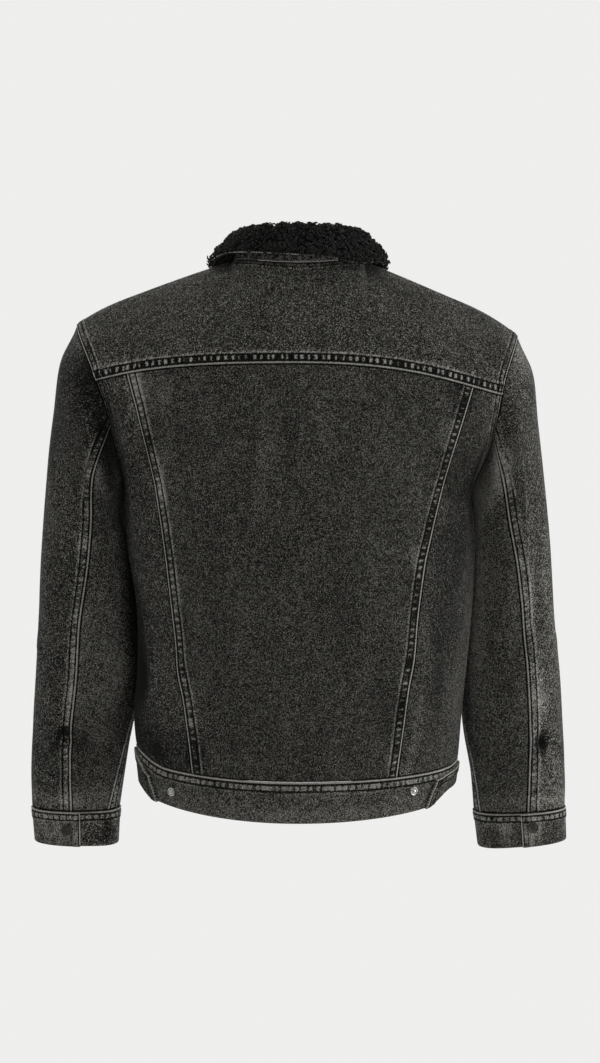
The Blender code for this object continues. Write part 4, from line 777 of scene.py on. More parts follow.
# Wear of the washed cloth, and painted light: dark rows in the valleys between sleeves and body
# paint their shade, pale rows along lit fold edges, shoulder tops and the right sleeve's outer side
# paint highlights.
FADES_AND_PAINTED_SHADING = {
    "back": (
        (0.92, 0.35, 0.42, 0.07, 1.42, -0.45), (0.7, 0.05, 0.18, 0.07, 0.0, -0.55),
        (-0.97, 0.45, 0.34, 0.04, -1.57, 0.55), (-0.975, 0.62, 0.22, 0.01, -1.57, 0.8),
        (-0.74, 0.52, 0.12, 0.3, 0.0, -0.55), (-0.4, 0.16, 0.07, 0.07, 0.0, -0.35),
        (-0.22, 0.32, 0.06, 0.1, 0.0, -0.2), (-0.15, 0.54, 0.06, 0.08, 0.0, -0.15),
        (0.9, 0.22, 0.11, 0.16, 0.0, -1.3), (0.99, 0.92, 0.04, 0.12, 0.0, -0.6),
        (0.93, 1.15, 0.05, 0.08, 0.0, 0.3), (0.5, 0.04, 0.03, 0.03, 0.0, -0.6),
        (-0.66, 0.25, 0.05, 0.18, 0.0, -0.3), (0.61, 0.66, 0.025, 0.06, 0.0, 0.6),
        (0.79, 0.94, 0.05, 0.09, 0.0, 1.1), (0.7, 0.8, 0.03, 0.06, 0.0, -0.3),
        (0.44, 0.88, 0.04, 0.2, 0.0, 0.15), (0.155, 0.74, 0.03, 0.12, 0.0, 0.3),
        (-0.11, 0.84, 0.1, 0.04, 1.45, 0.35), (0.03, 0.79, 0.03, 0.07, 0.0, -0.25),
        (-0.53, 0.5, 0.03, 0.04, 0.0, 0.3), (-0.49, 0.27, 0.03, 0.06, 0.0, 0.25),
        (-0.57, 0.12, 0.12, 0.03, -1.3, 0.45), (-0.7, 0.82, 0.06, 0.05, 0.0, 0.25),
        (0.03, 0.2, 0.14, 0.1, 0.0, 0.12), (-0.45, 1.75, 0.3, 0.16, 0.0, -0.15),
        (-0.76, 1.03, 0.07, 0.14, 0.0, -0.4), (0.95, 1.62, 0.05, 0.12, 0.0, 0.35),
        (0.9, 1.16, 0.06, 0.1, 0.0, 0.25), (-0.97, 0.68, 0.035, 0.14, 0.0, 2.1),
        (0.6, 2.0, 0.3, 0.07, 0.0, 0.8), (-0.6, 2.0, 0.3, 0.07, 0.0, 0.8),
        (0.61, 0.7, 0.03, 0.06, 0.0, 0.4), (0.59, 0.43, 0.03, 0.05, 0.0, 0.4),
        (0.515, 0.165, 0.03, 0.05, 0.0, 0.5), (0.49, 0.06, 0.05, 0.04, 0.0, -0.6),
        (0.7, 0.03, 0.06, 0.02, 0.0, -0.5), (0.12, 0.76, 0.05, 0.1, 0.0, 0.2),
        (-0.7, 0.82, 0.04, 0.05, 0.0, 0.4), (-0.65, 0.64, 0.04, 0.03, 0.0, 0.35),
        (-0.52, 0.505, 0.03, 0.03, 0.0, 0.45), (-0.5, 0.22, 0.03, 0.05, 0.0, 0.35),
        (-0.45, 0.07, 0.02, 0.04, 0.0, 0.6), (-0.53, 0.1, 0.03, 0.04, 0.0, -0.45),
        (-0.8, 1.0, 0.06, 0.05, 0.0, -0.35), (0.91, 1.06, 0.04, 0.03, 0.0, 0.5),
        (0.74, 1.1, 0.05, 0.04, 0.0, 0.4), (-0.16, 1.965, 0.06, 0.03, 0.0, 0.5),
        (-1.0, 1.065, 0.04, 0.04, 0.0, 0.6), (-0.525, 0.465, 0.03, 0.03, 0.0, -0.4),
        (1.0, 1.21, 0.03, 0.06, 0.0, -0.6), (-0.98, 1.8, 0.03, 0.12, 0.0, 0.5),
        (0.94, 1.98, 0.05, 0.05, 0.0, 0.5), (-0.66, 0.74, 0.04, 0.04, 0.0, -0.4),
        (0.63, 0.72, 0.05, 0.05, 0.0, 0.4), (0.57, 0.36, 0.03, 0.04, 0.0, -0.45),
        (-0.42, 0.115, 0.03, 0.03, 0.0, -0.45), (-0.02, 0.95, 0.03, 0.04, 0.0, 0.35),
        (-0.3, 0.95, 0.05, 0.05, 0.0, 0.3), (0.72, 0.9, 0.1, 0.06, 0.0, 0.2),
        (0.985, 0.72, 0.03, 0.1, 0.0, 0.8), (0.85, 0.22, 0.06, 0.035, 0.7, -2.4),
        (0.78, 0.97, 0.12, 0.05, 0.0, 0.35), (0.65, 0.92, 0.04, 0.05, 0.0, 0.45),
        (0.74, 0.045, 0.04, 0.02, 0.0, -0.6), (0.0, 1.95, 0.35, 0.03, 0.0, 0.4),
    ),
    "left": (
        (0.485, 0.42, 0.026, 0.26, 0.0, -1.9), (0.26, 0.02, 0.13, 0.05, 0.0, -0.8),
        (0.39, 0.05, 0.04, 0.04, 0.0, -0.6), (0.16, 0.17, 0.08, 0.1, 0.0, -0.25),
        (0.42, 0.45, 0.04, 0.1, 0.0, 0.1), (0.44, 0.7, 0.06, 0.22, 0.0, 0.22),
        (0.38, 0.13, 0.03, 0.04, 0.0, 0.45), (0.36, 0.6, 0.025, 0.3, 0.0, 0.35),
        (0.16, 0.1, 0.1, 0.1, 0.0, -0.2), (0.42, 0.62, 0.05, 0.1, 0.0, 0.25),
        (0.25, 0.975, 0.3, 0.022, 0.0, 0.8), (0.395, 0.838, 0.03, 0.02, 0.45, -0.7),
        (0.3, 0.84, 0.045, 0.016, -0.2, -0.8), (0.355, 0.74, 0.016, 0.04, 0.0, 0.4),
        (0.365, 0.88, 0.012, 0.04, 0.0, 0.6), (0.358, 0.65, 0.02, 0.1, 0.0, 0.45),
        (0.352, 0.353, 0.03, 0.05, 0.0, 0.35), (0.385, 0.1, 0.02, 0.03, 0.0, 0.45),
        (0.362, 0.92, 0.02, 0.05, 0.0, 0.5), (0.43, 0.84, 0.03, 0.03, 0.0, 0.35),
        (0.345, 0.035, 0.03, 0.02, 0.0, -0.5), (0.19, 0.0, 0.05, 0.02, 0.0, -0.5),
        (0.47, 0.2, 0.022, 0.1, 0.0, -1.0), (0.45, 0.03, 0.02, 0.03, 0.0, 1.0),
        (0.385, 0.973, 0.03, 0.02, 0.0, 0.5), (0.354, 0.737, 0.02, 0.04, 0.0, 0.4),
        (0.345, 0.812, 0.04, 0.01, 0.0, -1.6), (0.415, 0.84, 0.03, 0.012, 0.55, -0.2),
        (0.35, 0.73, 0.025, 0.04, 0.0, 0.45), (0.53, 0.68, 0.03, 0.05, 0.0, -1.5),
        (0.46, 0.7, 0.04, 0.06, 0.0, 0.35), (0.08, 0.02, 0.06, 0.03, 0.0, 0.4),
        (0.35, 0.04, 0.03, 0.02, 0.0, -0.5), (0.33, 0.81, 0.02, 0.012, 0.0, -0.6),
        (0.385, 0.815, 0.015, 0.015, 0.0, 0.5),
    ),
    "right": (
        (0.49, 0.36, 0.04, 0.36, 0.0, 1.5), (0.46, 0.04, 0.05, 0.04, 0.0, 0.9),
        (0.43, 0.1, 0.04, 0.07, 0.0, 0.8), (0.37, 0.07, 0.03, 0.08, 0.0, 1.2),
        (0.33, 0.25, 0.03, 0.04, 0.0, -0.4), (0.22, 0.55, 0.14, 0.45, 0.0, 0.22),
        (0.32, 0.52, 0.025, 0.34, 0.0, 0.4), (0.28, 0.88, 0.1, 0.1, 0.0, 0.3),
        (0.285, 0.832, 0.03, 0.024, 0.0, -2.0), (0.2, 0.975, 0.3, 0.022, 0.0, 0.7),
        (0.355, 0.8, 0.02, 0.06, 0.0, 0.3), (0.33, 0.45, 0.04, 0.09, 0.0, 0.45),
        (0.21, 0.46, 0.03, 0.08, 0.0, 0.35), (0.3, 0.73, 0.04, 0.05, 0.0, 0.6),
        (0.37, 0.73, 0.04, 0.04, 0.0, 0.3), (0.34, 0.94, 0.03, 0.06, 0.0, 0.45),
        (0.465, 0.03, 0.02, 0.05, 0.0, 1.2), (0.05, 0.0, 0.05, 0.04, 0.0, 0.5),
        (0.375, 0.09, 0.02, 0.05, 0.0, 0.6), (0.325, 0.19, 0.02, 0.04, 0.0, -0.5),
        (0.38, 0.47, 0.05, 0.08, 0.0, 0.3), (0.32, 0.74, 0.05, 0.04, 0.0, 0.4),
        (0.08, 0.03, 0.08, 0.05, 0.0, 0.6), (0.328, 0.832, 0.03, 0.02, 0.0, -1.7),
        (0.366, 0.83, 0.008, 0.022, 0.0, 0.7),
    ),
    "cuff left": (
        (420.0, 0.6, 30.0, 0.4, 0.0, 0.6), (455.0, 0.7, 8.0, 0.25, 0.0, 0.6),
        (448.0, 0.45, 6.0, 0.2, 0.0, -0.7), (125.0, 0.75, 30.0, 0.15, 0.0, -0.3),
        (145.0, 0.5, 16.0, 0.6, 0.0, -0.6), (451.0, 0.3, 8.0, 0.2, 0.0, 0.5),
        (412.0, 0.12, 20.0, 0.1, 0.0, 0.6), (455.0, 0.12, 20.0, 0.1, 0.0, 0.4),
        (440.0, 0.5, 10.0, 0.3, 0.0, 0.5), (143.0, 0.5, 8.0, 0.3, 0.0, -0.5),
    ),
    "cuff right": (
        (108.0, 0.45, 12.0, 0.2, 0.2, 0.6), (130.0, 0.65, 14.0, 0.3, 0.0, -0.35),
        (405.0, 0.6, 20.0, 0.5, 0.0, -0.5), (448.0, 0.8, 10.0, 0.3, 0.0, 0.6),
        (116.0, 0.45, 9.0, 0.25, 0.0, 0.8), (443.0, 0.4, 8.0, 0.2, 0.0, 0.7),
        (442.0, 0.5, 12.0, 0.28, 0.0, 1.3), (114.0, 0.5, 10.0, 0.25, 0.0, 0.4),
    ),
    "band": (
        (0.0, 0.85, 0.6, 0.2, 0.0, 0.45), (-0.2, 0.2, 0.12, 0.15, 0.0, 0.5),
        (0.72, 0.05, 0.05, 0.1, 0.0, -0.8),
    ),
}
counts = [sum(len(rows) for rows in table.values()) for table in (CREASES, FADES_AND_PAINTED_SHADING)]
print("creases:", counts[0], "fades:", counts[1])

# %% [markdown]
# ## The washed black denim
# Denim is woven from a dyed warp and a pale weft, so close up it is never one colour: white
# specks of weft show between black threads, and washing wears the dye off ridges and leaves it in
# the hollows.  The material adds up a grain of about a millimetre, slow cloudy changes of a few
# centimetres, a twist along the rolled edges, and the value of wear and painted shading that the
# seams and folds stored on the points: real wear, and also painted shadow beside the lapped seams
# and painted shade and highlights where the light falls on the jacket.  All of it reads the cloth
# attribute, which counts metres along the piece, so that the grain bends and turns with the cloth.
# bends and turns with the cloth.


# %% Nodes for materials
class Recipe:
    """A material whose nodes are added one by one and wired as they are made."""

    def __init__(self, name):
        self.made = bpy.data.materials.new(name)
        self.made.use_nodes = True
        self.tree = self.made.node_tree
        self.shader = self.tree.nodes["Principled BSDF"]

    def node(self, kind, settings=(), **inputs):
        """Adds a node.  settings are its own choices; inputs are values or other sockets."""
        made = self.tree.nodes.new(kind)
        for name, value in dict(settings).items():
            setattr(made, name, value)
        for name, value in inputs.items():
            numbered = name[0] == "i" and name[1:].isdigit()
            self.feed(made.inputs[int(name[1:]) if numbered else name], value)
        return made

    def feed(self, socket, value):
        if isinstance(value, bpy.types.NodeSocket):
            self.tree.links.new(value, socket)
        else:
            socket.default_value = value

    def math(self, operation, first, second=0.0, third=0.0):
        settings = {"operation": operation}
        return self.node("ShaderNodeMath", settings, i0=first, i1=second, i2=third).outputs[0]

    def times(self, first, second):
        return self.math("MULTIPLY", first, second)

    def scale_add(self, value, factor, start):
        """value times factor plus start."""
        return self.math("MULTIPLY_ADD", value, factor, start)

    def attribute(self, name, output="Vector"):
        return self.node("ShaderNodeAttribute", {"attribute_name": name}).outputs[output]

    def parts(self, name):
        """The three numbers of a vector stored on the points."""
        return self.node("ShaderNodeSeparateXYZ", (), Vector=self.attribute(name)).outputs

    def place(self):
        return self.node("ShaderNodeTexCoord").outputs["Object"]

    def scaled(self, vector, scale):
        return self.node("ShaderNodeMapping", (), Vector=vector, Scale=scale).outputs[0]

    def noise(self, vector, scale, detail=2.0, roughness=0.5):
        inputs = {"Vector": vector, "Scale": scale, "Detail": detail, "Roughness": roughness}
        return self.node("ShaderNodeTexNoise", (), **inputs).outputs[0]

    def fade(self, value, near, far):
        """1 up to near, 0 from far on, and soft between them."""
        settings = {"interpolation_type": "SMOOTHSTEP"}
        inputs = {"Value": value, "i1": near, "i2": far, "i3": 1.0, "i4": 0.0}
        return self.node("ShaderNodeMapRange", settings, **inputs).outputs[0]

    def ramp(self, value, stops):
        """Colours between stops of (place, (red, green, blue))."""
        made = self.node("ShaderNodeValToRGB", (), Fac=value)
        bar = made.color_ramp
        for k, (place, colour) in enumerate(stops):
            stop = bar.elements[k] if k < 2 else bar.elements.new(place)
            stop.position = place
            stop.color = (*colour, 1.0)
        return made.outputs[0]

    def bump(self, height, distance, strength):
        inputs = {"Height": height, "Distance": distance, "Strength": strength}
        return self.node("ShaderNodeBump", (), **inputs).outputs[0]

    def finish(self, **inputs):
        for name, value in inputs.items():
            self.feed(self.shader.inputs[name.replace("_", " ")], value)
        return self.made


print("material helper ready")


# %% Denim
DENIM_STOPS = (
    (0.00, (0.0040, 0.0039, 0.0036)),
    (0.22, (0.0110, 0.0107, 0.0095)),
    (0.42, (0.0330, 0.0320, 0.0285)),
    (0.62, (0.1000, 0.0970, 0.0850)),
    (0.80, (0.2700, 0.2640, 0.2350)),
    (1.00, (0.5600, 0.5500, 0.5000)),
)
ROPE_PITCH = 3.4 * MM    # twisting of a rolled edge, about one turn for each stitch
ROPE_WIDTH = (1.6 * MM, 2.6 * MM)  # where the twist starts and stops fading
ROPE_SLANT = 2600.0      # radians of turn for each metre away from the edge
GRAIN_GAIN, SPECK_GAIN, WIDE_GAIN, ROPE_GAIN, WEAR_AND_SHADING_GAIN = 2.5, 0.70, 0.20, 0.55, 0.30
MIDDLE_TONE = 0.352
# Lumps per metre of the grain, the white specks, the clouds, the wide clouds and the twill.
GRAIN, SPECKS, CLOUDS, WIDE_CLOUDS, TWILL = 1350.0, 1130.0, 120.0, 24.0, 330.0
FRAY_BROWN = (0.120, 0.072, 0.036, 1.0)


def denim(name, level=0.0, cloudy=0.26):
    """Washed denim.  The tone is 0.352 + level, plus grain, specks, clouds, twist, and wear with
    painted shade and highlights, each times its gain and about zero, looked up in a row of stops
    from near black to pale grey-olive."""
    look = Recipe(name)
    cloth = look.attribute("cloth")
    wear = look.attribute("wear", "Fac")
    grain = look.noise(look.scaled(cloth, (1.0, 0.85, 1.0)), GRAIN, 1.0)
    stretched = look.scaled(cloth, (1.0, 0.75, 1.0))
    specks = look.node("ShaderNodeTexVoronoi", (), Vector=stretched, Scale=SPECKS)
    speck = look.node("ShaderNodeSeparateColor", (), Color=specks.outputs["Color"]).outputs[0]
    clouds = look.noise(look.scaled(cloth, (1.0, 0.70, 1.0)), CLOUDS)
    wide = look.noise(look.scaled(cloth, (1.0, 0.45, 1.0)), WIDE_CLOUDS)
    along, away, strength = look.parts("seam")
    slant = look.times(away, ROPE_SLANT)
    rope = look.math("SINE", look.scale_add(along, 2 * np.pi / ROPE_PITCH, slant))
    rope = look.times(look.times(rope, look.fade(away, *ROPE_WIDTH)), strength)
    broken = look.scale_add(grain, 0.8, 0.60)
    tone = look.scale_add(grain, GRAIN_GAIN, MIDDLE_TONE + level - GRAIN_GAIN / 2)
    for value, gain in ((speck, SPECK_GAIN), (clouds, cloudy), (wide, WIDE_GAIN)):
        tone = look.math("ADD", tone, look.scale_add(value, gain, -gain / 2))
    tone = look.scale_add(rope, ROPE_GAIN, tone)
    # wear and painted shading: the stored value raises the tone where it is positive and lowers it
    # where it is negative, for real wear and also for painted shade in valleys and painted
    # highlights on lit edges
    tone = look.math("ADD", tone, look.times(look.times(wear, broken), WEAR_AND_SHADING_GAIN))
    settings = {"wave_type": "BANDS", "bands_direction": "DIAGONAL"}
    inputs = {"Vector": cloth, "Scale": TWILL, "Distortion": 1.5, "Detail": 1.0}
    twill = look.node("ShaderNodeTexWave", settings, **inputs).outputs[0]
    height = look.scale_add(grain, 0.8, look.times(twill, 0.25))
    brown = look.node("ShaderNodeMix", {"data_type": "RGBA"})
    look.feed(brown.inputs["Factor"], look.times(look.attribute("fray", "Fac"), 0.7))
    look.feed(brown.inputs[6], look.ramp(tone, DENIM_STOPS))
    look.feed(brown.inputs[7], FRAY_BROWN)
    return look.finish(
        Base_Color=brown.outputs[2],
        Roughness=0.92,
        Specular_IOR_Level=0.12,
        Sheen_Weight=0.04,
        Sheen_Roughness=0.5,
        Normal=look.bump(height, 0.6 * MM, 0.7),
    )


DENIM = denim("washed black denim")
PALER_DENIM = denim("paler washed denim", 0.095, 0.42)
print("denim has", len(DENIM.node_tree.nodes), "nodes")

# %% [markdown]
# ## Fine lines beside every seam
# A panel gets its rows and columns of points so that the finest lines keep their true distance
# from the edge, in millimetres, however wide the panel is there.  Each row asks for its own
# places, found from the length of that row.


# %% Grids with fine edges
def grid_places(surface, ends, heights, cell, start, end):
    """Places (rows, columns) on each row between its two ends, fine near both.  ends are two
    numbers, or two rows of numbers, one for each height."""
    lows, highs = np.sort([np.zeros(len(heights)) + place for place in ends], axis=0)
    rough = np.linspace(0.0, 1.0, 49)[None, :]
    spread = lows[:, None] + (highs - lows)[:, None] * rough
    size = lengths(surface(spread, np.repeat(heights[:, None], 49, axis=1)), 1)[:, -1]
    count = len(steps(size.max(), cell, start, end))
    first, last = np.array(start) * MM, np.array(end)[::-1] * MM
    middle = np.linspace(0.0, 1.0, count - len(first) - len(last) + 2)[None, 1:-1]
    inner = first[-1] + (size[:, None] - first[-1] - last[0]) * middle
    along = np.concatenate((np.tile(first, (len(size), 1)), inner, size[:, None] - last), axis=1)
    return lows[:, None] + (highs - lows)[:, None] * along / size[:, None]


BACK_CELL = 2.3 * MM
BACK_CELL_DOWN = 2.7 * MM
FRONT_CELL = 4.2 * MM
SLEEVE_CELL = 2.7 * MM
SLEEVE_CELL_ROUND = 4.0 * MM


def body_piece(name, form, ends, heights, start, end, edges, cell=BACK_CELL, step_in=None):
    """A panel of the body, between the places where its columns start and end."""
    s = grid_places(form.point, ends, heights, cell, start, end)
    h = np.repeat(heights[:, None], s.shape[1], axis=1)
    h = h + waist_rise(s) * np.clip(1 - h, 0, 1) ** 6
    normal = form.normal(s, h)
    points = form.point(s, h)
    inward = -normal
    for column, side in ((0, RIGHT), (-1, LEFT)):
        if np.allclose(s[:, column], side):
            hole = h[:, column] >= UNDERARM
            inward[hole, column] = -SLEEVES[side].mitre_at(form.face, h[hole, column])
    if step_in is not None:
        points = points - normal * step_in(s)[..., None]
    make_cloth(name, points, normal, edges, DENIM, form.name, s, h, inward)


print("cells:", BACK_CELL * 1000, FRONT_CELL * 1000, SLEEVE_CELL * 1000, "mm")

# %% [markdown]
# ## Sleeves as surfaces
# A two-piece sleeve hangs from the armhole in a slight forward bend.  It is one tube here, a row
# of ovals with a smooth curve through each of their points, and the two real pieces are cut from
# it along the back seam and the under seam.  The top ring is the armhole edge of the body itself,
# so that the seam closes all the way round.

# %% Rings of the sleeves
SLEEVE_RINGS = {
    # outer x, z, inner x, z, y, deep, back, under: the angles of the two seams, in degrees
    LEFT: (
        (0.294, -0.116, 0.2185, -0.3, -0.017, 0.082, 112, 206),
        (0.304, -0.178, 0.215, -0.319, -0.021, 0.079, 106, 200),
        (0.314, -0.256, 0.2085, -0.342, -0.026, 0.074, 103, 194),
        (0.3225, -0.35, 0.2005, -0.376, -0.031, 0.068, 96, 190),
        (0.327, -0.43, 0.1945, -0.432, -0.035, 0.062, 87, 186),
        (0.331, -0.5, 0.1955, -0.5, -0.036, 0.056, 85, 180),
        (0.3345, -0.565, 0.2095, -0.565, -0.034, 0.05, 86, 166),
        (0.336, -0.625, 0.219, -0.625, -0.031, 0.044, 89, 150),
        (0.3345, -0.666, 0.225, -0.668, -0.029, 0.038, 91, 140),
    ),
    RIGHT: (
        (0.288, -0.13, 0.219, -0.308, -0.017, 0.082, 109, 206),
        (0.2975, -0.186, 0.219, -0.326, -0.021, 0.079, 105, 200),
        (0.307, -0.26, 0.218, -0.348, -0.026, 0.074, 100, 194),
        (0.3165, -0.35, 0.215, -0.378, -0.031, 0.068, 91, 190),
        (0.3225, -0.43, 0.2105, -0.432, -0.035, 0.062, 84, 186),
        (0.33, -0.5, 0.206, -0.5, -0.036, 0.056, 80, 180),
        (0.3335, -0.565, 0.209, -0.565, -0.034, 0.05, 80, 172),
        (0.336, -0.625, 0.218, -0.625, -0.031, 0.044, 85, 160),
        (0.3355, -0.666, 0.2215, -0.672, -0.029, 0.038, 87, 152),
    ),
}
COLUMNS = 24             # places round a sleeve: 0 is the shoulder point, 12 the underarm
BACK_SEAM = 9
UNDER_SEAM = 13
FINE = 16                # points kept from one place to the next
AROUND = np.linspace(0.0, COLUMNS, COLUMNS * FINE + 1)
print("sleeve rings:", len(SLEEVE_RINGS[LEFT]))


# %% A sleeve
OVAL_POWER = 0.92
FIRST_GAP = 0.03         # metres counted at least between the armhole and the first ring


def on_oval(middle, across, deep, angle):
    """Points on an oval: angle 0 is away from the body, 90 degrees at the back.  Sine and cosine
    are raised to 0.92, which squares the oval slightly."""
    ways = (np.cos(angle), np.sin(angle))
    squeeze, swell = (np.abs(way) ** OVAL_POWER * np.sign(way) for way in ways)
    return middle + across * squeeze[..., None] + np.array((0, 1, 0)) * (deep * swell)[..., None]


class SleeveForm:
    """A sleeve as a surface: place along it from 0 at the armhole to 1 at the cuff, and column
    round it, down the back, past the underarm and up the front."""

    def __init__(self, side, name):
        self.side, self.name = side, name
        table = np.array(SLEEVE_RINGS[side])
        outer = np.stack((table[:, 0] * side, table[:, 4], table[:, 1]), 1)
        inner = np.stack((table[:, 2] * side, table[:, 4], table[:, 3]), 1)
        self.middle, self.across, self.deep = (outer + inner) / 2, (outer - inner) / 2, table[:, 5]
        hole, facing = self.armhole()
        rings = [hole]
        for k, row in enumerate(table):
            angle = np.interp(AROUND, (0, BACK_SEAM, UNDER_SEAM, COLUMNS), (0, row[6], row[7], 360))
            rings.append(on_oval(self.middle[k], self.across[k], self.deep[k], np.radians(angle)))
        self.rings = np.array(rings)
        self.meet(facing)
        middles = np.linalg.norm(np.diff(self.rings[:, ::FINE].mean(1), axis=0), axis=1)
        middles[0] = max(middles[0], FIRST_GAP)
        self.knots = np.concatenate(([0.0], np.cumsum(middles))) / middles.sum()
        self.slope = slopes_of(self.rings, self.knots)[1]

    def armhole(self):
        """The body's armhole edge: the back's from the shoulder down, the front's back up."""
        c = AROUND
        turn = COLUMNS // 2
        h = np.interp(c, (0, 6, turn, 18, COLUMNS), (2.0, 1.0, UNDERARM, 1.0, 2.0))
        s = np.full(h.shape, float(self.side))
        behind = (c <= turn)[:, None]
        points = np.where(behind, BACK.point(s, h), FRONT.point(s, h))
        facing = np.where(behind, BACK.normal(s, h), FRONT.normal(s, h))
        for place in (0, len(c) // 2, -1):
            facing[place] = unit(BACK.normal(s, h)[place] + FRONT.normal(s, h)[place])
        return points, facing

    def meet(self, facing):
        """Direction shared by the rims of body and sleeve, halfway between their outsides."""
        hole = self.rings[0]
        loop = hole[:-1]
        around = unit(np.roll(loop, -1, axis=0) - np.roll(loop, 1, axis=0))
        away = self.rings[1][:-1] - loop
        outward = unit(np.cross(around, away))
        from_middle = self.rings[1][:-1] - self.rings[1][:-1].mean(0)
        outward *= np.sign((outward * from_middle).sum(1))[:, None]
        mean = facing[:-1] + outward
        mitre = unit(mean - around * (mean * around).sum(1)[:, None])
        aside = unit(np.cross(around, mitre))
        aside *= np.sign((aside * away).sum(1))[:, None]
        self.mitre = np.concatenate((mitre, mitre[:1]))
        self.rings[0] = hole + np.concatenate((aside, aside[:1])) * GAP

    def mitre_at(self, face, h):
        """The shared direction at heights on the back's (face 1) or the front's armhole edge."""
        c = np.interp(h, (UNDERARM, 1.0, 2.0), (12, 6, 0) if face > 0 else (12, 18, COLUMNS))
        return unit(between(self.mitre, c * FINE))

    def plain(self, place, column):
        """Cubics through the rings, without folds."""
        wrapped = np.mod(column, COLUMNS) * FINE
        pick = lambda row, here: between(row, wrapped[here])
        return through_rows(self.rings, self.slope, self.knots, place, pick)

    def facing(self, surface, place, column, step=0.004, turn=0.25):
        before, after = np.clip(place - step, 0, 1), np.clip(place + step, 0, 1)
        along = surface(after, column) - surface(before, column)
        across = surface(place, column + turn) - surface(place, column - turn)
        return unit(np.cross(across, along)) * -self.side

    def point(self, column, place):
        """The surface with its folds, which die away at the armhole and at the cuff."""
        share = np.mod(column, COLUMNS) / COLUMNS
        lift = sum_of_bells(FOLDS, self.name, share, place) * plateau(place, 0.0, 0.12, 0.94, 1.0)
        return self.plain(place, column) + self.facing(self.plain, place, column) * lift[..., None]

    def normal(self, column, place):
        return self.facing(lambda p, c: self.point(c, p), place, column)


SLEEVES = {side: SleeveForm(side, name) for side, name in SIDES}
print("a sleeve starts at", SLEEVES[LEFT].point(np.array([0.0]), np.array([0.0]))[0].round(3))


# %% Body panels
def down_steps(form, s, low, high, cell, start, end):
    """Heights h from low to high, at even true steps along the line s, fine at both ends."""
    h = np.linspace(low, high, 400)
    line = form.point(np.full(h.shape, s), h)
    run = lengths(line, 0)
    return np.interp(steps(run[-1], cell, start, end) * run[-1], run, h)


BACK_H = down_steps(BACK, 0.0, 0.0, 1.0, BACK_CELL_DOWN, HIDDEN_LINES, HIDDEN_LINES)
TOP_AND_BOTTOM = (("low", "under", 21, 1.0), ("high", "under", 31, 0.8))
SLANTS = {side: slant_share(BACK_H, side) * side for side, name in SIDES}
body_piece(
    "back_centre_cloth", BACK, (SLANTS[RIGHT], SLANTS[LEFT]), BACK_H, EDGE_LINES, EDGE_LINES,
    (("first", "dark slant", 11, 1.1), ("last", "slant", 12, 1.0), *TOP_AND_BOTTOM),
)
for side, name in SIDES:
    seam, hole = in_order(side, "first", "last")
    seed, power = in_order(side, (12, 0.35), (11, 0.7))[0]
    lines = in_order(side, HIDDEN_LINES, EDGE_LINES)
    body_piece(
        "back_side_%s_cloth" % name, BACK, (SLANTS[side], side), BACK_H, *lines,
        ((seam, "under", seed, 1.0), (hole, "arm", 41, power), *TOP_AND_BOTTOM),
    )
YOKE_H = down_steps(BACK, 0.0, 1.0, 2.0, BACK_CELL_DOWN, EDGE_LINES, EDGE_LINES)
YOKE_SEAMS = (("low", "yoke", 31, 1.0), ("high", "arm", 32, 0.6))
ARMHOLES = (("first", "arm", 42, 1.1), ("last", "arm", 43, 1.2))
body_piece(
    "back_yoke_cloth", BACK, (RIGHT, LEFT), YOKE_H, EDGE_LINES, EDGE_LINES, YOKE_SEAMS + ARMHOLES
)
count_faces("back")


# %% Fronts
LAP_STEP = (-0.17, -0.085)  # places across where the right front starts to step in and is in


def lap_depth(s):
    """How far the right front steps inwards where it lies under the left one."""
    return soft_step(*LAP_STEP, s) * (CLOTH + 2 * GAP)


FRONT_H = np.concatenate(
    (
        down_steps(FRONT, 0.3, 0.0, 1.0, FRONT_CELL, HIDDEN_LINES, (0,))[:-1],
        down_steps(FRONT, 0.6, 1.0, 2.0, FRONT_CELL, (0,), HIDDEN_LINES),
    )
)
for side, name in SIDES:
    centre, hole = in_order(side, "first", "last")
    edges = ((centre, "edge", 51, 0.9), (hole, "arm", 52, 0.6))
    edges += (("low", "under", 22, 1.0), ("high", "under", 32, 0.5))
    body_piece(
        "front_%s_cloth" % name, FRONT, (-side * FRONT_LAP, side), FRONT_H, EDGE_LINES, EDGE_LINES,
        edges, cell=FRONT_CELL, step_in=lap_depth if side < 0 else None,
    )
count_faces("front")


# %% Sleeves
for side, name in SIDES:
    form = SLEEVES[side]
    rough = np.linspace(0.0, 1.0, 200)
    run = lengths(form.point(np.full(rough.shape, float(COLUMNS)), rough), 0)
    along = np.interp(steps(run[-1], SLEEVE_CELL) * run[-1], run, rough)
    seed = 60 if side > 0 else 70
    for part, ends, kind, lines, seeds in (
        ("under", (BACK_SEAM, UNDER_SEAM), "under", HIDDEN_LINES, (seed + 1, seed)),
        ("upper", (UNDER_SEAM, COLUMNS + BACK_SEAM), "sleeve", EDGE_LINES, (seed, seed + 1)),
    ):
        columns = grid_places(form.point, ends, along, SLEEVE_CELL_ROUND, lines, lines)
        place = np.repeat(along[:, None], columns.shape[1], axis=1)
        normal = form.normal(columns, place)
        inward = -normal
        inward[0] = -unit(between(form.mitre, np.mod(columns[0], COLUMNS) * FINE))
        edges = (("first", kind, seeds[0], 0.9), ("last", kind, seeds[1], 0.9))
        edges += (("low", "under", 42 if side < 0 else 43, 0.8), ("high", "under", seed + 2, 1.0))
        share = np.mod(columns, COLUMNS) / COLUMNS
        make_cloth(
            "sleeve_%s_%s_cloth" % (part, name), form.point(columns, place), normal, edges, DENIM,
            form.name, share, place, inward,
        )
count_faces("sleeve")

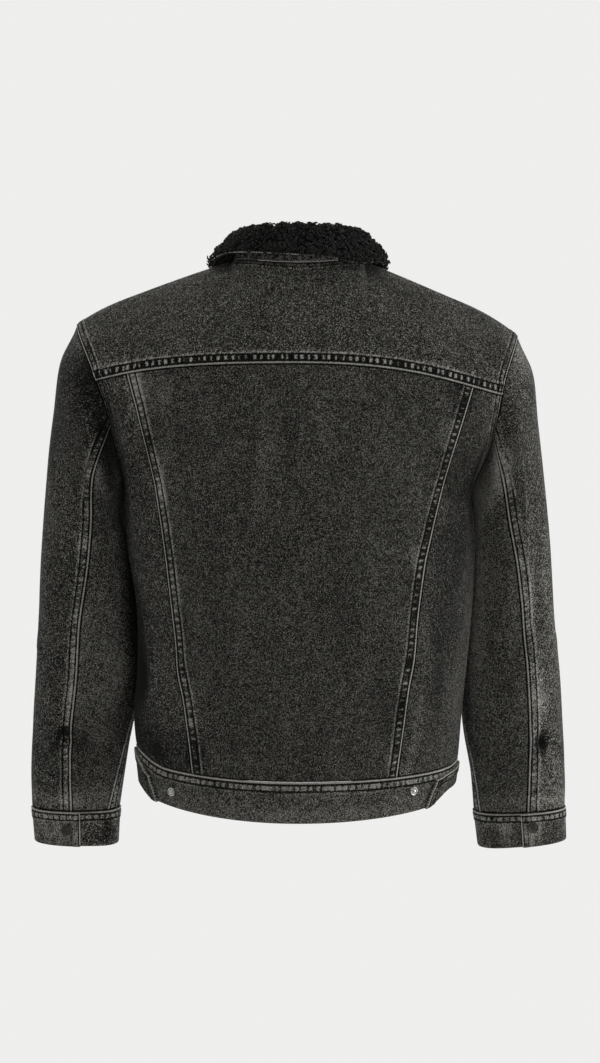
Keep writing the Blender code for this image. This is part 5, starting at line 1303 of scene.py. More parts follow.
# %% [markdown]
# ## Waistband and side tabs
# The waistband is a straight folded strip that hangs from the waist seam to the hem.  Its back is
# one piece from side seam to side seam, each front has its own, and two short tabs lie over the
# back one.  Each is a ruled surface: straight lines from the waist seam down to the hem.


# %% Waistband
class BandForm:
    """The strip below the waist seam: down is 0 at the seam and 1 at the hem."""

    def __init__(self, form):
        self.form = form

    def point(self, s, down):
        top = self.form.point(s, waist_rise(s))
        low = across_row(HEM[self.form.face], s)
        return top + (low - top) * (down * (1 - hem_tuck(s)))[..., None]

    def normal(self, s, down, step=0.004):
        before, after = np.clip(s - step, -1, 1), np.clip(s + step, -1, 1)
        across = self.point(after, down) - self.point(before, down)
        fall = self.point(s, np.ones(s.shape)) - self.point(s, np.zeros(s.shape))
        return unit(np.cross(across, fall)) * self.form.face


def strip(
    name, form, ends, depth, edges, lines, where=None, lift=None, cell=BACK_CELL, thick=DENIM_THICK,
    material=PALER_DENIM,
):
    """A piece from a surface of (place across, place down).  ends are the places where it starts
    and stops, lines the fine lines there, and lift raises it."""
    down = steps(depth, cell, EDGE_LINES)
    across = grid_places(form.point, ends, down, cell, *lines)
    fall = np.repeat(down[:, None], across.shape[1], axis=1)
    normal = form.normal(across, fall)
    points = form.point(across, fall)
    if lift is not None:
        points = points + normal * lift(across)[..., None]
    make_cloth(name, points, normal, edges, material, where, across, fall, thick=thick)


BACK_BAND, FRONT_BAND = BandForm(BACK), BandForm(FRONT)
BAND_DEPTH = 0.048
strip(
    "waistband_back_cloth",
    BACK_BAND,
    (RIGHT, LEFT),
    BAND_DEPTH,
    (("low", "waist", 21, 1.0), ("high", "hem", 24, 1.0)),
    (HIDDEN_LINES, HIDDEN_LINES),
    "band",
)
for side, name in SIDES:
    centre = in_order(side, "first", "last")[0]
    strip(
        "waistband_%s_cloth" % name,
        FRONT_BAND,
        (-side * FRONT_LAP, side),
        BAND_DEPTH,
        (("low", "waist", 22, 1.0), ("high", "hem", 25, 1.0), (centre, "edge", 26, 0.7)),
        in_order(side, EDGE_LINES, HIDDEN_LINES),
        "front band",
        lift=(lambda s: -lap_depth(s)) if side < 0 else None,
        cell=FRONT_CELL,
    )

TAB_LIFT = 0.0030        # outside of a tab over the waistband's form
TAB_THICK = 0.0024       # two layers of cloth
TAB_DEPTH = 0.033
TAB_SIDE = 0.985         # share of the half band where a tab reaches the side seam
TABS = {
    # share where the free end is at the top and at the hem, then the top edge there and at the side
    LEFT: (0.785, 0.740, 0.42, 0.10),
    RIGHT: (0.718, 0.660, 0.26, 0.20),
}


class TabForm:
    """A side tab: 0 to 1 from its free end to the side seam, and 0 to 1 from its top to the hem."""

    def __init__(self, side):
        self.side, self.sizes = side, TABS[side]

    def on_band(self, across, fall):
        end_top, end_low, top_end, top_side = self.sizes
        end = end_top + (end_low - end_top) * fall
        top = top_end + (top_side - top_end) * across
        return (end + (TAB_SIDE - end) * across) * self.side, top + (1.0 - top) * fall

    def point(self, across, fall):
        place = self.on_band(across, fall)
        return BACK_BAND.point(*place) + BACK_BAND.normal(*place) * TAB_LIFT

    def normal(self, across, fall):
        return BACK_BAND.normal(*self.on_band(across, fall))


for side, name in SIDES:
    strip(
        "side_tab_%s_cloth" % name,
        TabForm(side),
        (0, 1),
        TAB_DEPTH,
        (("low", "edge", 27, 1.1), ("first", "edge", 28, 1.2), ("high", "hem", 29, 1.0)),
        (EDGE_LINES, HIDDEN_LINES),
        thick=TAB_THICK,
        material=DENIM,
    )
count_faces("band", "tab")

# %% [markdown]
# ## Cuffs
# A cuff is a folded band that closes with a button: its showing end laps over its hidden end.  It
# is one strip that goes once round the wrist and a little further, and steps inwards where it
# passes under itself, as the real one does when it is buttoned.

# %% Cuffs
CUFF_SWELL = 0.0006      # the cuff stands this much outside the sleeve's end
CUFF_DEPTH = 0.043
CUFF_EDGES = {
    # lower edge: outer x, z, inner x, z, y, deep
    LEFT: (0.3310, -0.7090, 0.2270, -0.7130, -0.029, 0.034),
    RIGHT: (0.3370, -0.7070, 0.2270, -0.7170, -0.029, 0.034),
}
CUFF_LAP = {
    # degrees round the wrist: hidden end, showing end, end of the step
    LEFT: (72, 100, 150),
    RIGHT: (72, 94, 146),
}
STEP_START = 8           # degrees past the showing end
EASE = 0.3               # share of the depth over which the cuff leaves the sleeve's edge


class CuffForm:
    """A cuff: angle in degrees round the wrist, down from 0 at its seam to 1 at its lower edge."""

    def __init__(self, side):
        self.lap = CUFF_LAP[side]
        sleeve = SLEEVES[side]
        o_x, o_z, i_x, i_z, y, self.deep = CUFF_EDGES[side]
        outer, inner = np.array((o_x * side, y, o_z)), np.array((i_x * side, y, i_z))
        self.low = ((outer + inner) / 2, (outer - inner) / 2)
        self.top = (sleeve.middle[-1], sleeve.across[-1], sleeve.deep[-1])
        self.centre = (self.top[0] + self.low[0]) / 2

    def bare(self, angle, down):
        turned = np.radians(angle)
        top = on_oval(*self.top, turned)
        return top + (on_oval(*self.low, self.deep, turned) - top) * down[..., None]

    def normal(self, angle, down):
        """Straight out from the middle, level, with the depth counted twice."""
        away = (self.bare(angle, down) - self.centre) * (1.0, 2.0, 0.0)
        return unit(away)

    def point(self, angle, down):
        showing, done = self.lap[1:]
        inside = -(CLOTH + 2 * GAP) * (1 - soft_step(showing + STEP_START, done, angle))
        out = self.normal(angle, down) * (inside + CUFF_SWELL)[..., None]
        points = self.bare(angle, down) + out
        points[..., 2] -= 2 * GAP * (1 - soft_step(0.0, EASE, down))
        return points


CUFF_FORMS = {side: CuffForm(side) for side, name in SIDES}
for side, name in SIDES:
    hidden, showing = CUFF_LAP[side][:2]
    seed = 62 if side > 0 else 72
    strip(
        "cuff_%s_cloth" % name,
        CUFF_FORMS[side],
        (hidden, 360.0 + showing),
        CUFF_DEPTH,
        (("low", "cuff", seed, 1.0), ("last", "edge", 81, 1.0), ("high", "hem", 82, 1.0)),
        (HIDDEN_LINES, EDGE_LINES),
        "cuff " + name,
    )
count_faces("cuff")

# %% [markdown]
# ## Collar stand
# The stand is the narrow strip that rises from the neck seam and carries the fold of the collar.
# Only its lowest part shows, below the fleece, as a dark line with a pale seam.


# %% Collar stand
STAND_HEIGHT = 0.029
STAND_WALL = 0.0025
STAND_LEAN = 0.008       # the stand leans in by this much at the sides of the neck
FOLD_DROP = 0.23         # share by which the collar is lower there than at the back
STAND_LIFT = 0.0005      # the stand starts this much over the neck seam
COLLAR_END = 0.975


def neckline(u):
    """Point and level outward direction on the neckline: two half ovals, u is 0 at the back
    and 1 and -1 at the front."""
    side = np.where(u < 0, -1.0, 1.0)
    angle = np.abs(u) * np.pi
    behind = angle <= np.pi / 2
    depth = np.where(behind, NECK_BACK_DEPTH, NECK_FRONT_DEPTH)
    sine = np.sin(angle)
    front_rise = (NECK_SIDE_RISE + NECK_FRONT_DROP) * sine**NECK_FRONT_CURVE - NECK_FRONT_DROP
    rise = np.where(behind, NECK_SIDE_RISE * sine**NECK_BACK_CURVE, front_rise)
    points = np.stack((side * NECK_HALF_WIDTH * sine, depth * np.cos(angle), rise), -1)
    away = np.stack((side * depth * sine, NECK_HALF_WIDTH * np.cos(angle), 0 * sine), -1)
    return points, unit(away)


def collar_lower(u):
    """How far towards the side of the neck a place is: 0 at the back, 1 at the side and beyond."""
    return np.sin(np.minimum(np.abs(u), 0.5) * np.pi) ** 2


class StandForm:
    """The stand: u round the neck, up from 0 at the neck seam to 1 at its top."""

    def point(self, u, up):
        neck, away = neckline(u)
        top = neck + UP * (STAND_HEIGHT * (1 - FOLD_DROP * collar_lower(u)))[..., None]
        top = top - away * (STAND_LEAN * collar_lower(u))[..., None]
        low = neck + UP * STAND_LIFT
        return low + (top - low) * up[..., None]

    def normal(self, u, up):
        return neckline(u)[1]


strip(
    "collar_stand_cloth",
    StandForm(),
    (-COLLAR_END, COLLAR_END),
    STAND_HEIGHT,
    (("low", "stand", 91, 1.0),),
    (HIDDEN_LINES, HIDDEN_LINES),
    thick=STAND_WALL,
    material=DENIM,
)
count_faces("stand")

# %% [markdown]
# ## Sherpa fleece
# Sherpa is a knitted pile washed until it clumps into small curls.  Hair particles would give
# strands that can't be exported, so the pile is real shape in two layers: a thick lumpy base with
# the form of the folded collar, and thousands of short, thick, tapered curls that stand on it in
# clumps.  Each curl is the same few faces, bent its own way; all are worked out at once.

# %% Sections of the collar leaf
LEAF_SECTION = (
    # out from the stand, height over the neck seam, how much the point follows the edge
    (-0.0095, 0.0310, 0.0), (-0.0110, 0.0400, 0.0), (-0.0060, 0.0485, 0.0),
    (0.0020, 0.0500, 0.0), (0.0090, 0.0455, 0.02), (0.0135, 0.0370, 0.15),
    (0.0160, 0.0270, 0.42), (0.0170, 0.0170, 0.72), (0.0165, 0.0090, 1.0),
    (0.0135, 0.0058, 1.0), (0.0095, 0.0068, 1.0), (0.0065, 0.0150, 0.72),
    (0.0050, 0.0240, 0.36), (0.0030, 0.0296, 0.0), (-0.0030, 0.0296, 0.0),
)
LEAF_EDGE = (
    # u, how far the edge spreads out, how far it drops
    (0.00, 0.000, 0.000), (0.18, 0.003, 0.001), (0.34, 0.0125, 0.000), (0.50, 0.0212, -0.006),
    (0.70, 0.026, -0.012), (0.88, 0.030, -0.026), (1.00, 0.034, -0.040),
)
LEAF_LOW = 0.090         # share by which the washed pile is flatter than the plain solid
RIGHT_FULLER = 0.0040    # the pile is thicker at the right side of the neck
RIGHT_DROOP = 0.012      # and its edge hangs lower between the back and that side,
DROOP_PLACE = (-0.29, 0.14)  # in a bell with this middle and width in u
FLEECE_SINK = 0.0035     # the base lies this far inside the tips of the curls
RING = 96                # points round the leaf's section
BASE_ROWS, BASE_COLUMNS = 131, 120  # grid of half the fleece base


def smooth_ring(rows, count):
    """A closed curve through the rows: cubics whose slopes join each point's two neighbours."""
    rows = np.array(rows)
    place = np.linspace(0.0, len(rows), count, endpoint=False)
    low, t = place.astype(int), (place % 1.0)[:, None]
    slope = (np.roll(rows, -1, axis=0) - np.roll(rows, 1, axis=0)) / 2
    after = (low + 1) % len(rows)
    return hermite(rows[low], rows[after], slope[low], slope[after], t)


SECTION = smooth_ring(LEAF_SECTION, RING)


def leaf_surface(u, ring):
    """Points of the collar leaf; ring is a place round its section, from 0 to RING."""
    low = np.floor(ring).astype(int) % RING
    part = (ring % 1.0)[..., None]
    section = SECTION[low] * (1 - part) + SECTION[(low + 1) % RING] * part
    out, up, follow = np.moveaxis(section, -1, 0)
    table = np.array(LEAF_EDGE)
    spread, drop = (np.interp(np.abs(u), table[:, 0], table[:, k]) for k in (1, 2))
    neck, away = neckline(u)
    lower = collar_lower(u)
    fuller = RIGHT_FULLER * lower * (u < 0) * soft_step(0.004, 0.020, up)
    out = out + spread * follow - STAND_LEAN * lower + fuller
    rise = up * (1 - LEAF_LOW * soft_step(0.012, 0.045, up)) * (1 - FOLD_DROP * lower)
    rise = rise + drop * follow - RIGHT_DROOP * bell(u, *DROOP_PLACE) * follow
    return neck + away * out[..., None] + UP * rise[..., None]


def leaf_facing(u, ring):
    """Outward direction of the leaf."""
    across = leaf_surface(u + 0.004, ring) - leaf_surface(u - 0.004, ring)
    round_it = leaf_surface(u, ring + 1.0) - leaf_surface(u, ring - 1.0)
    return unit(np.cross(across, round_it))


print("leaf at the back, outside:", leaf_surface(np.array([0.0]), np.array([40.0]))[0].round(3))


# %% Lumps of the pile
CHANCES = (97, 89)       # squares before the lumps repeat
LUMP_PLACE = (0.2, 0.6)  # fixed part and chance part, in squares, and so for the other two
LUMP_WIDTH = (0.45, 0.25)
LUMP_HEIGHT = (0.45, 0.55)


def lumps(a, b, seed, pitch):
    """Rounded lumps on a plane: each square of side pitch has one bell, moved and sized by
    chance, and every point takes the highest of the nine bells near it."""
    chance = np.random.default_rng(seed).uniform(size=(*CHANCES, 4))
    cell_a, cell_b = np.floor(a / pitch).astype(int), np.floor(b / pitch).astype(int)
    high = np.zeros(np.shape(a))
    for i in (-1, 0, 1):
        for j in (-1, 0, 1):
            own = chance[(cell_a + i) % CHANCES[0], (cell_b + j) % CHANCES[1]]
            fixed, moved = LUMP_PLACE
            from_a = a - (cell_a + i + fixed + moved * own[..., 0]) * pitch
            from_b = b - (cell_b + j + fixed + moved * own[..., 1]) * pitch
            wide = pitch * by_chance(LUMP_WIDTH, own[..., 2])
            bump = by_chance(LUMP_HEIGHT, own[..., 3]) * np.exp(-(from_a**2 + from_b**2) / wide**2)
            high = np.maximum(high, bump)
    return high


section_line = leaf_surface(np.zeros(RING + 1), np.arange(RING + 1.0))
SECTION_LENGTH = lengths(section_line, 0)[-1]
NECK_LENGTH = 0.50       # round the neck, from one front end to the other
UNDERSIDE = (55.0, 84.0)  # places round the section that the denim underside covers
COVERED = (58.0, 0.08)   # the pile hides its edge on the right: where it starts, over what u
LUMPS = ((0.0030, 5, 0.0100), (0.0012, 6, 0.0045))  # height, seed and pitch of both sizes
ROUNDED = ((0.85, 0.5), (0.5, 0.9), (0.05, 1.0))  # of the ends: size, and share of the reach
END_REACH = 0.004
HALVES = {LEFT: (0.0, COLLAR_END), RIGHT: (-COLLAR_END, 0.0)}


def underside_start(u):
    """Where the denim underside starts: it peeks out on the left and hides on the right."""
    hidden = soft_step(-COVERED[1], COVERED[1], -u - 0.02)
    return UNDERSIDE[0] + (COVERED[0] - UNDERSIDE[0]) * hidden


def has_pile(u, ring):
    """1 where the leaf is fleece, 0 where its denim underside lies."""
    start, end = underside_start(u), UNDERSIDE[1]
    return 1 - plateau(ring, start - 1.5, start + 0.5, end - 1.0, end + 1.0)


def pile_height(u, ring):
    """Height of the lumps, from the length along the collar and round its section."""
    along, across = u * NECK_LENGTH / 2 + 1.0, ring / RING * SECTION_LENGTH
    large, small = (high * lumps(along, across, seed, pitch) for high, seed, pitch in LUMPS)
    return (large + small) * has_pile(u, ring % RING)


def fleece_base(name, first, last):
    """Half of the leaf as a closed lumpy tube, with its ends rounded over."""
    u = np.linspace(first, last, BASE_ROWS)
    around = np.linspace(0.0, RING, BASE_COLUMNS, endpoint=False)
    place, ring = np.meshgrid(u, around, indexing="ij")
    high = pile_height(place, ring) - FLEECE_SINK
    points = leaf_surface(place, ring) + leaf_facing(place, ring) * high[..., None]
    ends = []
    for row, sign in ((0, -1), (-1, 1)):
        middle = points[row].mean(0)
        near = leaf_surface(u[row] + np.array((-0.001, 0.001)), np.zeros(2))
        tip = unit(near[1] - near[0]) * sign * (0.0 if abs(u[row]) < 0.5 else END_REACH)
        ends.append([middle + (points[row] - middle) * k + tip * j for k, j in ROUNDED])
    return tubes(name, np.concatenate((ends[0][::-1], points, ends[1]))[None], turned_over=True)


def fleece(name):
    """Black pile: near black on the base between the curls, grey on them and brownish at their
    tips.
    The darkening from the tips down to the roots and the base is painted shade deep in the pile.
    The curl attribute holds the place along a curl and a chance; it is 0 on the base below."""
    look = Recipe(name)
    fine = look.noise(look.place(), 900.0, 2.0, 0.6)
    along, chance = look.parts("curl")[:2]
    # painted shade: the tone rises from root to tip, so the base and the roots are darkest
    tone = look.scale_add(along, 0.45, look.times(fine, 0.25))
    tone = look.scale_add(chance, 0.40, tone)
    stops = (
        (0.10, (0.0030, 0.0029, 0.0028)),
        (0.45, (0.0110, 0.0106, 0.0100)),
        (0.75, (0.0260, 0.0240, 0.0215)),
        (0.95, (0.0560, 0.0480, 0.0390)),
    )
    return look.finish(
        Base_Color=look.ramp(tone, stops),
        Roughness=0.90,
        Specular_IOR_Level=0.20,
        Sheen_Weight=0.30,
        Sheen_Roughness=0.4,
        Normal=look.bump(fine, 0.5 * MM, 0.6),
    )


FLEECE = fleece("black sherpa fleece")
for side, name in SIDES:
    add_piece(fleece_base("fleece_base_" + name, *HALVES[side]), FLEECE)
count_faces("fleece")

# %% [markdown]
# ## Curls
# Sherpa shows short, thick, worm-like curls that lie half over on the cloth.  One curl is a tube
# of six rings of four points with a blunt tip.  Its root sits on the base; it rises a little,
# lies over to one side and turns about itself on the way.  All curls of a side are one mesh.

# %% Curls
CURLS = 3300             # on each half of the collar
CURL_RINGS = 6
CURL_SIDES = 4
CURL_SEED = 7
CURL_SINK = 0.6 * MM     # the root lies this far inside the base
CURL_LENGTH = (0.0050, 0.0085)
CURL_HEIGHT = (0.0016, 0.0040)
CURL_THICK = (0.00070, 0.00115)
CURL_TWIST = (1.2, 3.6)  # radians from root to tip, one way or the other
CURL_TAPER = 0.72        # share of the thickness that is gone at the tip
CURL_ARCH = 0.72         # share of a half wave that the rise goes through
PILE_EDGE = 0.6          # no curls where there is less pile than this


def curls(name, first, last, seed):
    """Curls at random places: root plus facing times the rise, plus a turning sideways walk.
    The walk adds up small steps whose direction turns evenly from root to tip."""
    chance = np.random.default_rng(seed)
    u = chance.uniform(first, last, CURLS)
    ring = chance.uniform(0.0, RING, CURLS)
    kept = has_pile(u, ring) > PILE_EDGE
    u, ring = u[kept], ring[kept]
    count = len(u)
    facing = leaf_facing(u, ring)
    sunk = pile_height(u, ring) - FLEECE_SINK - CURL_SINK
    root = leaf_surface(u, ring) + facing * sunk[:, None]
    across = unit(leaf_surface(u + 0.002, ring) - leaf_surface(u - 0.002, ring))
    beside = unit(np.cross(facing, across))
    size = chance.uniform(*CURL_LENGTH, count)
    turn = chance.uniform(0.0, 2 * np.pi, count)
    twist = chance.uniform(*CURL_TWIST, count) * chance.choice((-1.0, 1.0), count)
    high = chance.uniform(*CURL_HEIGHT, count)
    t = np.linspace(0.0, 1.0, CURL_RINGS)[None, :]
    swing = turn[:, None] + twist[:, None] * t
    step = size[:, None] / (CURL_RINGS - 1) * (t > 0)
    walk = [np.cumsum(wave(swing) * step, axis=1)[..., None] for wave in (np.cos, np.sin)]
    rise = high[:, None] * np.sin(np.pi * t**0.8 * CURL_ARCH)
    line = root[:, None] + facing[:, None] * rise[..., None]
    line = line + across[:, None] * walk[0] + beside[:, None] * walk[1]
    ahead = unit(np.gradient(line, axis=1))
    one = unit(np.cross(ahead, facing[:, None] + 0.2 * across[:, None]))
    thick = chance.uniform(*CURL_THICK, count)[:, None] * (1.0 - CURL_TAPER * t**4)
    angles = np.arange(CURL_SIDES) * 2 * np.pi / CURL_SIDES
    circles = wheel(one, np.cross(ahead, one), angles)
    points = line[:, :, None] + circles * thick[:, :, None, None]
    mesh = tubes(name, points)
    place = np.zeros(points.shape)
    place[..., 0] = t[..., None]
    place[..., 1] = chance.uniform(0.0, 1.0, count)[:, None, None]
    keep = mesh.attributes.new("curl", "FLOAT_VECTOR", "POINT")
    keep.data.foreach_set("vector", place.astype(np.float32).ravel())
    return mesh


for side, name in SIDES:
    add_piece(curls("curls_" + name, *HALVES[side], CURL_SEED + side), FLEECE)
count_faces("curls")

# %% [markdown]
# ## Underside of the collar
# The side of the collar that faces the body is plain denim, made in the paler denim as painted
# light in the shade of the leaf.  Its folded edge peeks out below the pile on the left as a thin
# pale line, and the pile falls over it on the right.


# %% Denim underside
UNDERSIDE_LIFT = 0.0004  # the denim lies this far inside the leaf's own surface
UNDERSIDE_THICK = 0.0012
UNDERSIDE_DEPTH = 0.028


class UndersideForm:
    """The underside: u along the collar, across 0 at its showing edge and 1 at the stand."""

    def place(self, u, across):
        start = underside_start(u)
        return start + (UNDERSIDE[1] - start) * across

    def point(self, u, across):
        ring = self.place(u, across)
        return leaf_surface(u, ring) - leaf_facing(u, ring) * UNDERSIDE_LIFT

    def normal(self, u, across):
        return leaf_facing(u, self.place(u, across))


# The underside takes the strip's paler denim, as painted light that lifts it in the shade of the
# collar leaf.
strip(
    "collar_underside_cloth",
    UndersideForm(),
    (-COLLAR_END, COLLAR_END),
    UNDERSIDE_DEPTH,
    (("low", "edge", 93, 0.9),),
    (HIDDEN_LINES, HIDDEN_LINES),
    thick=UNDERSIDE_THICK,
)
count_faces("underside")

# %% [markdown]
# ## Stitches
# Two rows of dark thread hold each felled seam, one stitch to every 3.2 mm.  A texture could
# draw them, but a seam seen from close by needs thread that stands up between two holes.  Every
# stitch is a short arched tube of three rings of four points; each group of rows is one mesh.

# %% Stitches
STITCH_PITCH = 3.2 * MM
STITCH_RINGS = (
    # along from the middle, height over the cloth, radius
    (-1.30 * MM, -0.20 * MM, 0.12 * MM),
    (0.00 * MM, 0.18 * MM, 0.27 * MM),
    (1.30 * MM, -0.20 * MM, 0.12 * MM),
)
STITCH_SIDES = 4


def stitch_points(line, facing):
    """Points (stitch, ring, side) of a row: places at even lengths, each with its own frame."""
    run = lengths(line, 0)
    count = int(run[-1] / STITCH_PITCH) - 1
    middles = (np.arange(count) + 1.0) * STITCH_PITCH
    rings = np.array(STITCH_RINGS)
    at = middles[:, None] + rings[:, 0]
    walk, away = (
        np.stack([np.interp(at, run, grid[:, k]) for k in range(3)], -1) for grid in (line, facing)
    )
    ahead = unit(np.gradient(walk, axis=1))
    away = unit(away)
    middle = walk + away * rings[:, 1][:, None]
    angles = np.arange(STITCH_SIDES) * 2 * np.pi / STITCH_SIDES
    circles = wheel(unit(np.cross(ahead, away)), away, angles)
    return middle[:, :, None] + circles * rings[:, 2][:, None, None]


def thread(name):
    """Dark twisted thread: a fine wave across it, slightly shiny."""
    look = Recipe(name)
    fine = look.noise(look.place(), 1500.0, 2.0, 0.6)
    stops = ((0.30, (0.0060, 0.0058, 0.0054)), (0.75, (0.0300, 0.0290, 0.0260)))
    return look.finish(
        Base_Color=look.ramp(fine, stops),
        Roughness=0.6,
        Specular_IOR_Level=0.4,
        Normal=look.bump(fine, 0.2 * MM, 0.6),
    )


THREAD = thread("dark thread")
for name, starts in (
    ("stitches_back", ("back",)),
    ("stitches_front", ("front",)),
    ("stitches_sleeves", ("sleeve", "cuff")),
    ("stitches_waist_and_collar", ("waist", "side_tab", "collar")),
):
    rows = [stitch_points(*row[1:]) for row in STITCH_LINES if row[0].startswith(starts)]
    add_piece(tubes(name, np.concatenate(rows)), THREAD)
    print(name, sum(len(row) for row in rows), "stitches")

# %% [markdown]
# ## Buttons and studs
# The buttons are metal: a cap with a rolled edge on a short shank, as on any denim jacket, and
# the waist tabs close on two small bright studs.  Each is a profile turned about the line that
# stands straight out from the cloth.


# %% Turned metal
AROUND_METAL = 40        # points round a button or stud


def turned(name, place, facing, profile, look):
    """A closed body from rows of (radius, height): every row becomes a ring, and the two end
    rings are closed by one face each."""
    facing = unit(np.array(facing))
    side = unit(np.cross(facing, UP))
    angles = np.linspace(0.0, 2 * np.pi, AROUND_METAL, endpoint=False)
    ring = wheel(side, np.cross(side, facing), angles)
    rows = [np.array(place) + ring * radius + facing * height for radius, height in profile]
    add_piece(tubes(name, np.array(rows)[None], turned_over=True), look)


def metal(name, dark, pale, roughness):
    """Turned metal: a colour that changes slightly with fine scratches, rougher where dull."""
    look = Recipe(name)
    place = look.place()
    fine = look.noise(look.scaled(place, (1.0, 1.0, 6.0)), 900.0, 3.0, 0.6)
    dull = look.noise(place, 260.0, 3.0, 0.6)
    rough = look.node(
        "ShaderNodeMapRange", (), Value=dull, i3=roughness * 0.8, i4=roughness * 1.4
    )
    return look.finish(
        Base_Color=look.ramp(dull, ((0.25, dark), (0.75, pale))),
        Roughness=rough.outputs[0],
        Metallic=1.0,
        Normal=look.bump(fine, 0.2 * MM, 0.4),
    )


STUD_METAL = metal("bright stud metal", (0.55, 0.55, 0.53), (0.92, 0.92, 0.90), 0.17)
BUTTON_METAL = metal("dark button metal", (0.050, 0.046, 0.040), (0.160, 0.150, 0.130), 0.45)
print("metals ready")

# %% Buttons and studs in place
BUTTON_SIZE = (0.0085, 0.0042)       # radius, height
CUFF_BUTTON_SIZE = (0.0068, 0.0036)
BUTTON_SEAT = 0.0005     # the front buttons start this much outside the front
BUTTON_PROFILE = (
    # shares of the radius and the height: shank, rolled edge, a groove inside it, a dull middle
    (0.45, 0.30), (0.88, 0.36), (0.97, 0.46), (1.00, 0.62), (0.98, 0.80),
    (0.92, 0.93), (0.84, 0.98), (0.76, 0.92), (0.71, 0.80), (0.66, 0.76), (0.60, 0.82),
    (0.45, 0.90), (0.24, 0.94), (0.05, 0.95),
)
SHANK_WIDTH = 0.42       # share of the radius where the shank ends
SHANK_END = -0.0010      # and how far into the cloth it goes


def button_profile(radius, height):
    """Rows of (radius, height) for a button of this size."""
    rows = [(radius * wide, height * high) for wide, high in BUTTON_PROFILE]
    return [(radius * SHANK_WIDTH, SHANK_END), *rows]


STUD_PROFILE = (
    (0.0030, -0.0012), (0.0036, 0.0009), (0.0048, 0.0010), (0.0052, 0.0014), (0.0052, 0.0021),
    (0.0049, 0.0027), (0.0044, 0.0029), (0.0039, 0.0025), (0.0036, 0.0009), (0.0030, 0.0009),
    (0.0027, 0.0025), (0.0022, 0.0031), (0.0015, 0.0034), (0.0003, 0.0035),
)
FRONT_BUTTONS = (-0.090, -0.191, -0.292, -0.393, -0.494)  # heights down the front edge
LAST_BUTTON = np.array([0.5])                             # share down the waistband
CUFF_BUTTONS = {LEFT: (85.0, 0.52), RIGHT: (82.0, 0.42)}  # degrees, share down the cuff
STUDS = {LEFT: (0.640, 0.58), RIGHT: (0.580, 0.42)}       # shares across and down the waistband

edge_h = np.linspace(0.0, 2.0, 400)
front_edge = FRONT.point(np.zeros(edge_h.shape), edge_h)
front_rise = unit(np.gradient(front_edge, axis=0))
button = button_profile(*BUTTON_SIZE)
for number, height in enumerate(FRONT_BUTTONS, start=1):
    place = np.array([np.interp(height, front_edge[:, 2], front_edge[:, k]) for k in range(3)])
    rise = front_rise[np.searchsorted(front_edge[:, 2], height)]
    facing = unit(np.array((0.0, -rise[2], rise[1])))
    turned("button_front_%d" % number, place + facing * BUTTON_SEAT, facing, button, BUTTON_METAL)
place, facing = (way(np.zeros(1), LAST_BUTTON)[0] for way in (FRONT_BAND.point, FRONT_BAND.normal))
turned("button_front_6", place, facing, button, BUTTON_METAL)
for side, name in SIDES:
    angle, down = np.array(CUFF_BUTTONS[side])[:, None]
    form = CUFF_FORMS[side]
    away = form.normal(angle, down)[0]
    place = form.bare(angle, down)[0] + away * CUFF_SWELL
    turned("button_cuff_" + name, place, away, button_profile(*CUFF_BUTTON_SIZE), BUTTON_METAL)
    share, down = np.array(STUDS[side])[:, None]
    place, away = (way(share * side, down)[0] for way in (BACK_BAND.point, BACK_BAND.normal))
    turned("stud_" + name, place, away, STUD_PROFILE, STUD_METAL)
count_faces("button", "stud")

# %% [markdown]
# ## Pieces on the body, standing for the solids
# Every piece hangs on the one rigid body and stands for the plain solid that it dresses, which is
# hidden.  The flat size of each cloth piece is worked out from its grid, but nothing uses it.

# %% What each piece stands for
# A cloth piece stands for the solid whose name it has, except the collar's underside: the
# fleece stands for the whole collar leaf.
STANDS_FOR = {name: name.removesuffix("_cloth") for name in GRIDS if "underside" not in name}
STANDS_FOR["fleece_base_left"] = "collar_leaf"
for number in range(1, 7):
    STANDS_FOR["button_front_%d" % number] = "front_button_%d" % number
for side, name in SIDES:
    STANDS_FOR["button_cuff_" + name] = "cuff_button_" + name
    STANDS_FOR["stud_" + name] = "tab_stud_" + name
for name, piece in PIECES.items():
    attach(piece, "root")
    if name in STANDS_FOR:
        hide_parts(STANDS_FOR[name])
print("pieces:", len(PIECES), "solids stood for:", len(STANDS_FOR))


for name, points in GRIDS.items():
    wide, long = float(lengths(points, 1)[:, -1].max()), float(lengths(points, 0)[-1].max())
    flat = (round(wide, 3), round(long, 3))

# %% [markdown]
# ## Stage, light and camera
# The jacket hangs against a pale wall of even light.  A disc far below it is the floor; it fades
# into the background at its rim.  One large soft light from the right of the view shapes the
# sleeves and folds, and a weaker one falls on them from above.

# %% Stage
FLOOR_Z = -1.45
FLOOR_SIZE = 1.1
FLOOR_FADE = (0.6, 1.05)  # radii where the floor starts to fade and where it is gone
FLOOR_POINTS = 96
WALL = 0.862             # brightness of the pale wall ahead
ROOM_BEHIND = 0.24       # brightness of the room behind the viewer
turn = np.linspace(0.0, 2 * np.pi, FLOOR_POINTS, endpoint=False)
level = np.full(FLOOR_POINTS, FLOOR_Z)
disc = np.stack((FLOOR_SIZE * np.cos(turn), FLOOR_SIZE * np.sin(turn), level), 1)
floor_mesh = bpy.data.meshes.new("floor")
floor_mesh.from_pydata(disc, [], [list(range(FLOOR_POINTS))])
look = Recipe("pale floor")
flat = look.scaled(look.place(), (1.0, 1.0, 0.0))
radius = look.node("ShaderNodeVectorMath", {"operation": "LENGTH"}, i0=flat).outputs[1]
fade = look.fade(radius, *FLOOR_FADE)
PALE = (0.90, 0.90, 0.89, 1.0)
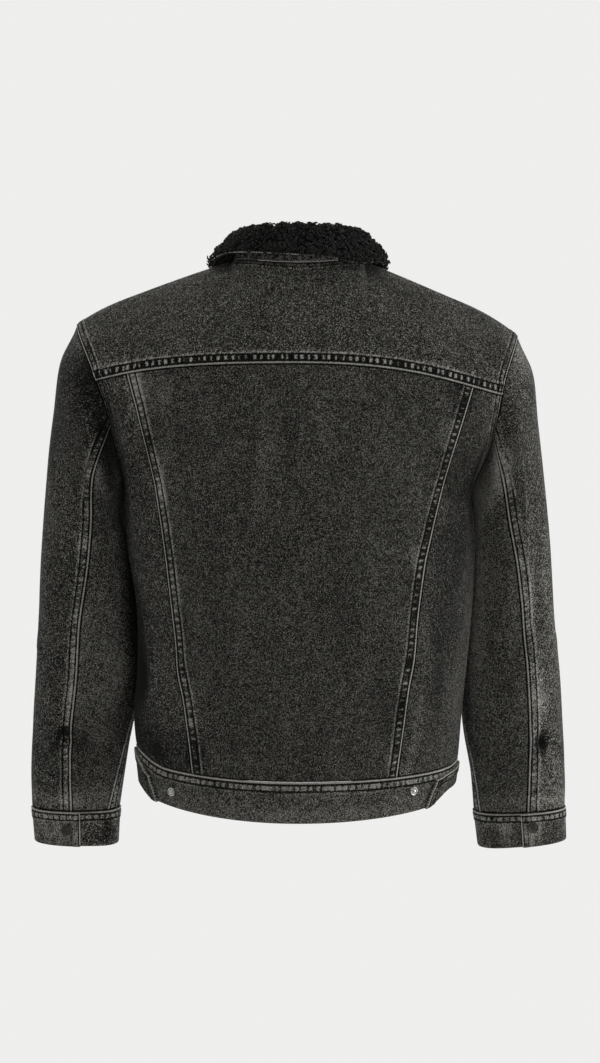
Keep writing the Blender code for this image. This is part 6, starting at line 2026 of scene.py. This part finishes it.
floor_mesh.materials.append(look.finish(Base_Color=PALE, Roughness=0.9, Alpha=fade))
add_object("floor", floor_mesh)

world = bpy.data.worlds.new("studio")
bpy.context.scene.world = world
world.use_nodes = True
sky = world.node_tree.nodes
wire = world.node_tree.links.new
parts, depth, pick = (sky.new("ShaderNode" + kind) for kind in ("SeparateXYZ", "MapRange", "Mix"))
wire(sky.new("ShaderNodeTexCoord").outputs["Generated"], parts.inputs[0])
wire(parts.outputs["Y"], depth.inputs["Value"])
for k, value in ((1, -0.6), (2, 0.5), (3, WALL), (4, ROOM_BEHIND)):
    depth.inputs[k].default_value = value
wire(sky.new("ShaderNodeLightPath").outputs["Is Camera Ray"], pick.inputs["Factor"])
wire(depth.outputs[0], pick.inputs["A"])
pick.inputs["B"].default_value = WALL
wire(pick.outputs[0], sky["Background"].inputs["Strength"])
sky["Background"].inputs["Color"].default_value = (1.0, 0.996, 0.990, 1.0)
bpy.context.scene.view_settings.view_transform = "Standard"

LAMPS = (
    # name, place, aimed at, size, watts
    ("key from the right", (-1.75, 0.15, -0.60), (-0.1, 0.0, -0.45), 1.2, 13.0),
    ("top light", (0.0, 1.3, 1.6), (0.0, 0.0, -0.3), 1.2, 7.0),
)
for name, place, target, size, watts in LAMPS:
    lamp = bpy.data.lights.new(name.replace(" ", "_"), "AREA")
    lamp.shape, lamp.size, lamp.energy = "SQUARE", size, watts
    holder = add_object(lamp.name, lamp)
    holder.location = place
    holder.rotation_euler = (Vector(target) - Vector(place)).to_track_quat("-Z", "Y").to_euler()
print("lamps:", len(LAMPS))

# %% Camera
CAMERA_PLACE = (-0.0023, 1.56, -0.322)
CAMERA_LENS = 75.6
camera = bpy.data.cameras.new("camera")
camera.lens, camera.sensor_width, camera.sensor_fit = CAMERA_LENS, 36.0, "HORIZONTAL"
view = add_object("camera", camera)
view.location = CAMERA_PLACE
view.rotation_euler = (np.pi / 2, 0.0, np.pi)
bpy.context.scene.camera = view
print("camera at", CAMERA_PLACE)
